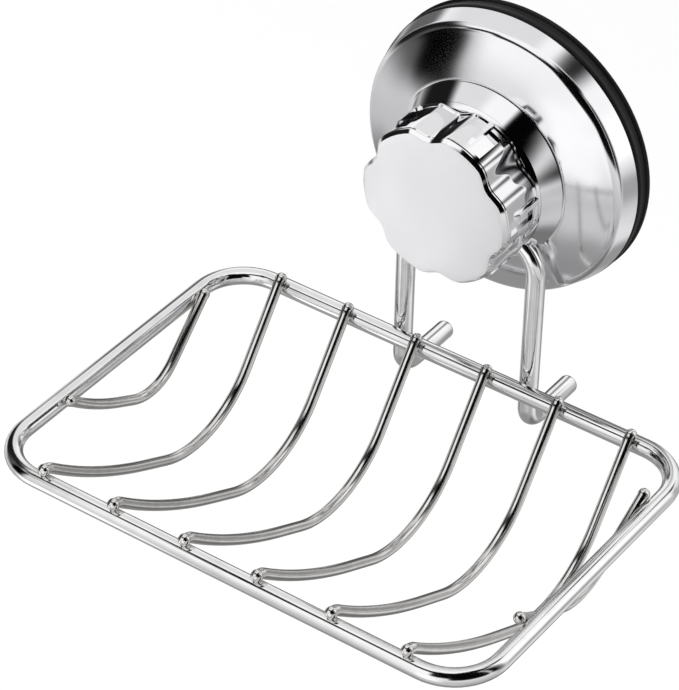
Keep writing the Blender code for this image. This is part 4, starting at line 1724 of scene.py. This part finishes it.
@dataclass
class Tent:
    """A round light tent that only metal and glass see, with dark bars along its roof.

    Its brightnesses are as they look on a screen, from 0 for black to 1 for white.
    """

    middle: Vector = field(default_factory=lambda: Vector((0, -0.07, -0.04)))
    radius: float = 0.30
    segments: int = 96
    ring_count: int = 48
    ground_elevation: float = -65
    ground_brightness: float = 0.58
    wall_elevation: float = 22
    wall_brightness: float = 1.03
    bar_blur: float = 0.05
    bar_brightness: float = 0.05
    screen_gamma: float = 2.2

    def within(self, graph: Graph, value: Socket, low: float, high: float, blur: float,
               wrap: bool = False) -> Socket:
        """A share that is 1 between two values and falls to 0 outside them.

        Args:
            graph: The cloth's nodes.
            value: The value.
            low: Where the range starts.
            high: Where it ends.
            blur: How far the fall reaches on both sides of each end.
            wrap: Whether the value is an azimuth, which starts again after half a turn.

        Returns:
            The share.
        """
        offset = graph.maths("SUBTRACT", value, (low + high) / 2)
        if wrap:
            offset = graph.maths("WRAP", offset, HALF_TURN_DEGREES, -HALF_TURN_DEGREES)
        half = (high - low) / 2
        return graph.ramp(graph.maths("ABSOLUTE", offset), 1, 0, half - blur, half + blur)

    def pattern(self, graph: FinishGraph) -> Socket:
        """Lay out the nodes that give the tent's brightness.

        Args:
            graph: The cloth's nodes.

        Returns:
            The brightness.
        """
        outward = graph.add("ShaderNodeVectorMath", operation="NORMALIZE")
        graph.feed(outward, {0: graph.place})
        parts = graph.add("ShaderNodeSeparateXYZ")
        graph.feed(parts, {"Vector": outward.outputs["Vector"]})
        aside, inward, upward = (parts.outputs[axis] for axis in "XYZ")
        azimuth = graph.maths("DEGREES", graph.maths("ARCTAN2", aside, graph.maths("MULTIPLY", inward, -1)))
        elevation = graph.maths("DEGREES", graph.maths("ARCSINE", upward))
        overhead = graph.maths("GREATER_THAN", upward, 0)
        brightness = graph.ramp(elevation, self.ground_brightness, self.wall_brightness,
                                self.ground_elevation, self.wall_elevation, "LINEAR")
        for screen in SCREENS:
            across = self.within(graph, azimuth, screen.left, screen.right, screen.side_blur, True)
            along = self.within(graph, elevation, screen.bottom, screen.top, screen.rise_blur)
            share = graph.maths("MULTIPLY", across, along)
            brightness = graph.mix(share, brightness, screen.brightness, label=screen.name)
        for bar in ROOF_BARS:
            along = self.within(graph, inward, bar.outer, bar.inner, self.bar_blur)
            across = self.within(graph, aside, bar.left, bar.right, self.bar_blur)
            share = graph.maths("MULTIPLY", graph.maths("MULTIPLY", along, across), overhead)
            brightness = graph.mix(share, brightness, self.bar_brightness, label=bar.name)
        return brightness

    def make(self) -> None:
        """Hang the tent."""
        graph = FinishGraph("tent_cloth")
        glow = graph.add("ShaderNodeEmission")
        graph.feed(glow, {"Strength": graph.maths("POWER", self.pattern(graph), self.screen_gamma)})
        graph.show(glow.outputs["Emission"])
        tent = add_stage(bpy.ops.mesh.primitive_uv_sphere_add, "studio_tent", graph.material,
                         segments=self.segments, ring_count=self.ring_count, radius=self.radius,
                         location=self.middle)
        tent.visible_camera = tent.visible_diffuse = tent.visible_shadow = False


@dataclass
class Studio:
    """A plain studio: pale floor, soft light, a white surround and the light tent."""

    floor_up: float = -0.42
    floor_size: float = 8.0
    floor_colour: tuple[float, float, float, float] = (0.9, 0.9, 0.9, 1)
    near_lift: float = 0.16
    far_lift: float = 0.36
    fade_from: float = 0.9
    fade_to: float = 3.0
    surround: float = 0.78
    lamp_power: float = 9.0
    lamp_size: float = 1.4
    lamp_place: Vector = field(default_factory=lambda: Vector((-0.5, -0.7, 1.3)))

    def seen(self, graph: Graph) -> Socket:
        """Tell the rays that the eye, metal and glass look along from light on the object.

        Args:
            graph: The nodes that it goes in.

        Returns:
            1 for the eye, metal and glass, and 0 for light on the object.
        """
        rays = graph.add("ShaderNodeLightPath").outputs
        looked = graph.maths("MAXIMUM", rays["Is Camera Ray"], rays["Is Glossy Ray"])
        return graph.maths("MAXIMUM", looked, rays["Is Transmission Ray"])

    def floor(self) -> None:
        """Lay the floor, which keeps the object's shadow and fades to white far off."""
        graph = FinishGraph("floor_paper")
        graph.feed(graph.shader, {"Base Color": self.floor_colour, "Roughness": 1})
        away = graph.add("ShaderNodeVectorMath", operation="LENGTH")
        graph.feed(away, {0: graph.place})
        fade = graph.ramp(away.outputs["Value"], self.near_lift, self.far_lift,
                          self.fade_from, self.fade_to)
        lift = graph.add("ShaderNodeEmission")
        graph.feed(lift, {"Strength": graph.maths("MULTIPLY", self.seen(graph), fade)})
        both = graph.add("ShaderNodeAddShader")
        graph.feed(both, {0: graph.shader.outputs["BSDF"], 1: lift.outputs["Emission"]})
        graph.show(both.outputs["Shader"])
        add_stage(bpy.ops.mesh.primitive_plane_add, "studio_floor", graph.material,
                  size=self.floor_size, location=UP * self.floor_up)

    def world(self) -> None:
        """White to the eye, and plain soft light on everything."""
        world = bpy.data.worlds.new("white_surround")
        bpy.context.scene.world = world
        world.use_nodes = True
        graph = Graph(world.node_tree)
        level = graph.mix(self.seen(graph), self.surround, 1)
        graph.feed(graph.tree.nodes["Background"], {"Strength": level, "Color": (1, 1, 1, 1)})

    def lamp(self) -> None:
        """Hang one large soft lamp over the user's left shoulder."""
        data = bpy.data.lights.new("soft_lamp", "AREA")
        data.shape = "DISK"
        data.size = self.lamp_size
        data.energy = self.lamp_power
        lamp = bpy.data.objects.new("soft_lamp", data)
        lamp.location = self.lamp_place
        lamp.rotation_euler = (-self.lamp_place).to_track_quat("-Z", "Y").to_euler()
        lamp.visible_glossy = False
        bpy.context.scene.collection.objects.link(lamp)

    def make(self) -> None:
        """Set the studio up."""
        self.floor()
        self.world()
        self.lamp()
        Tent().make()


@dataclass
class Camera:
    """The camera at the photograph's angle."""

    place: Vector = field(default_factory=lambda: Vector((0.35358, -0.58483, 0.46816)))
    forward: Vector = field(default_factory=lambda: Vector((-0.44862, 0.64761, -0.61591)))
    upward: Vector = field(default_factory=lambda: Vector((-0.36914, 0.49335, 0.78762)))
    focal_length_px: float = 3455.6
    image_height_px: float = 690
    sensor_mm: float = 36
    clip_near: float = 0.01
    clip_far: float = 20

    def make(self) -> None:
        """Add the camera and make it the scene's."""
        data = bpy.data.cameras.new("photo_camera")
        data.sensor_width = self.sensor_mm
        data.lens = self.focal_length_px * self.sensor_mm / self.image_height_px
        data.clip_start = self.clip_near
        data.clip_end = self.clip_far
        camera = bpy.data.objects.new("photo_camera", data)
        bpy.context.scene.collection.objects.link(camera)
        back = -self.forward.normalized()
        side = self.upward.cross(back).normalized()
        turn = Matrix((side, back.cross(side), back)).transposed()
        camera.matrix_world = Matrix.Translation(self.place) @ turn.to_4x4()
        bpy.context.scene.camera = camera


def main() -> None:
    """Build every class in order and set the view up."""
    logging.basicConfig(level=logging.INFO, format="%(message)s")
    bpy.context.scene.view_settings.view_transform = "Standard"
    for kind in (Camera, SuctionPad, ShellCover, NeckCollar, Knob, Hanger, Basket, HiddenWorks, Studio):
        kind().make()


if __name__ == "__main__":
    main()
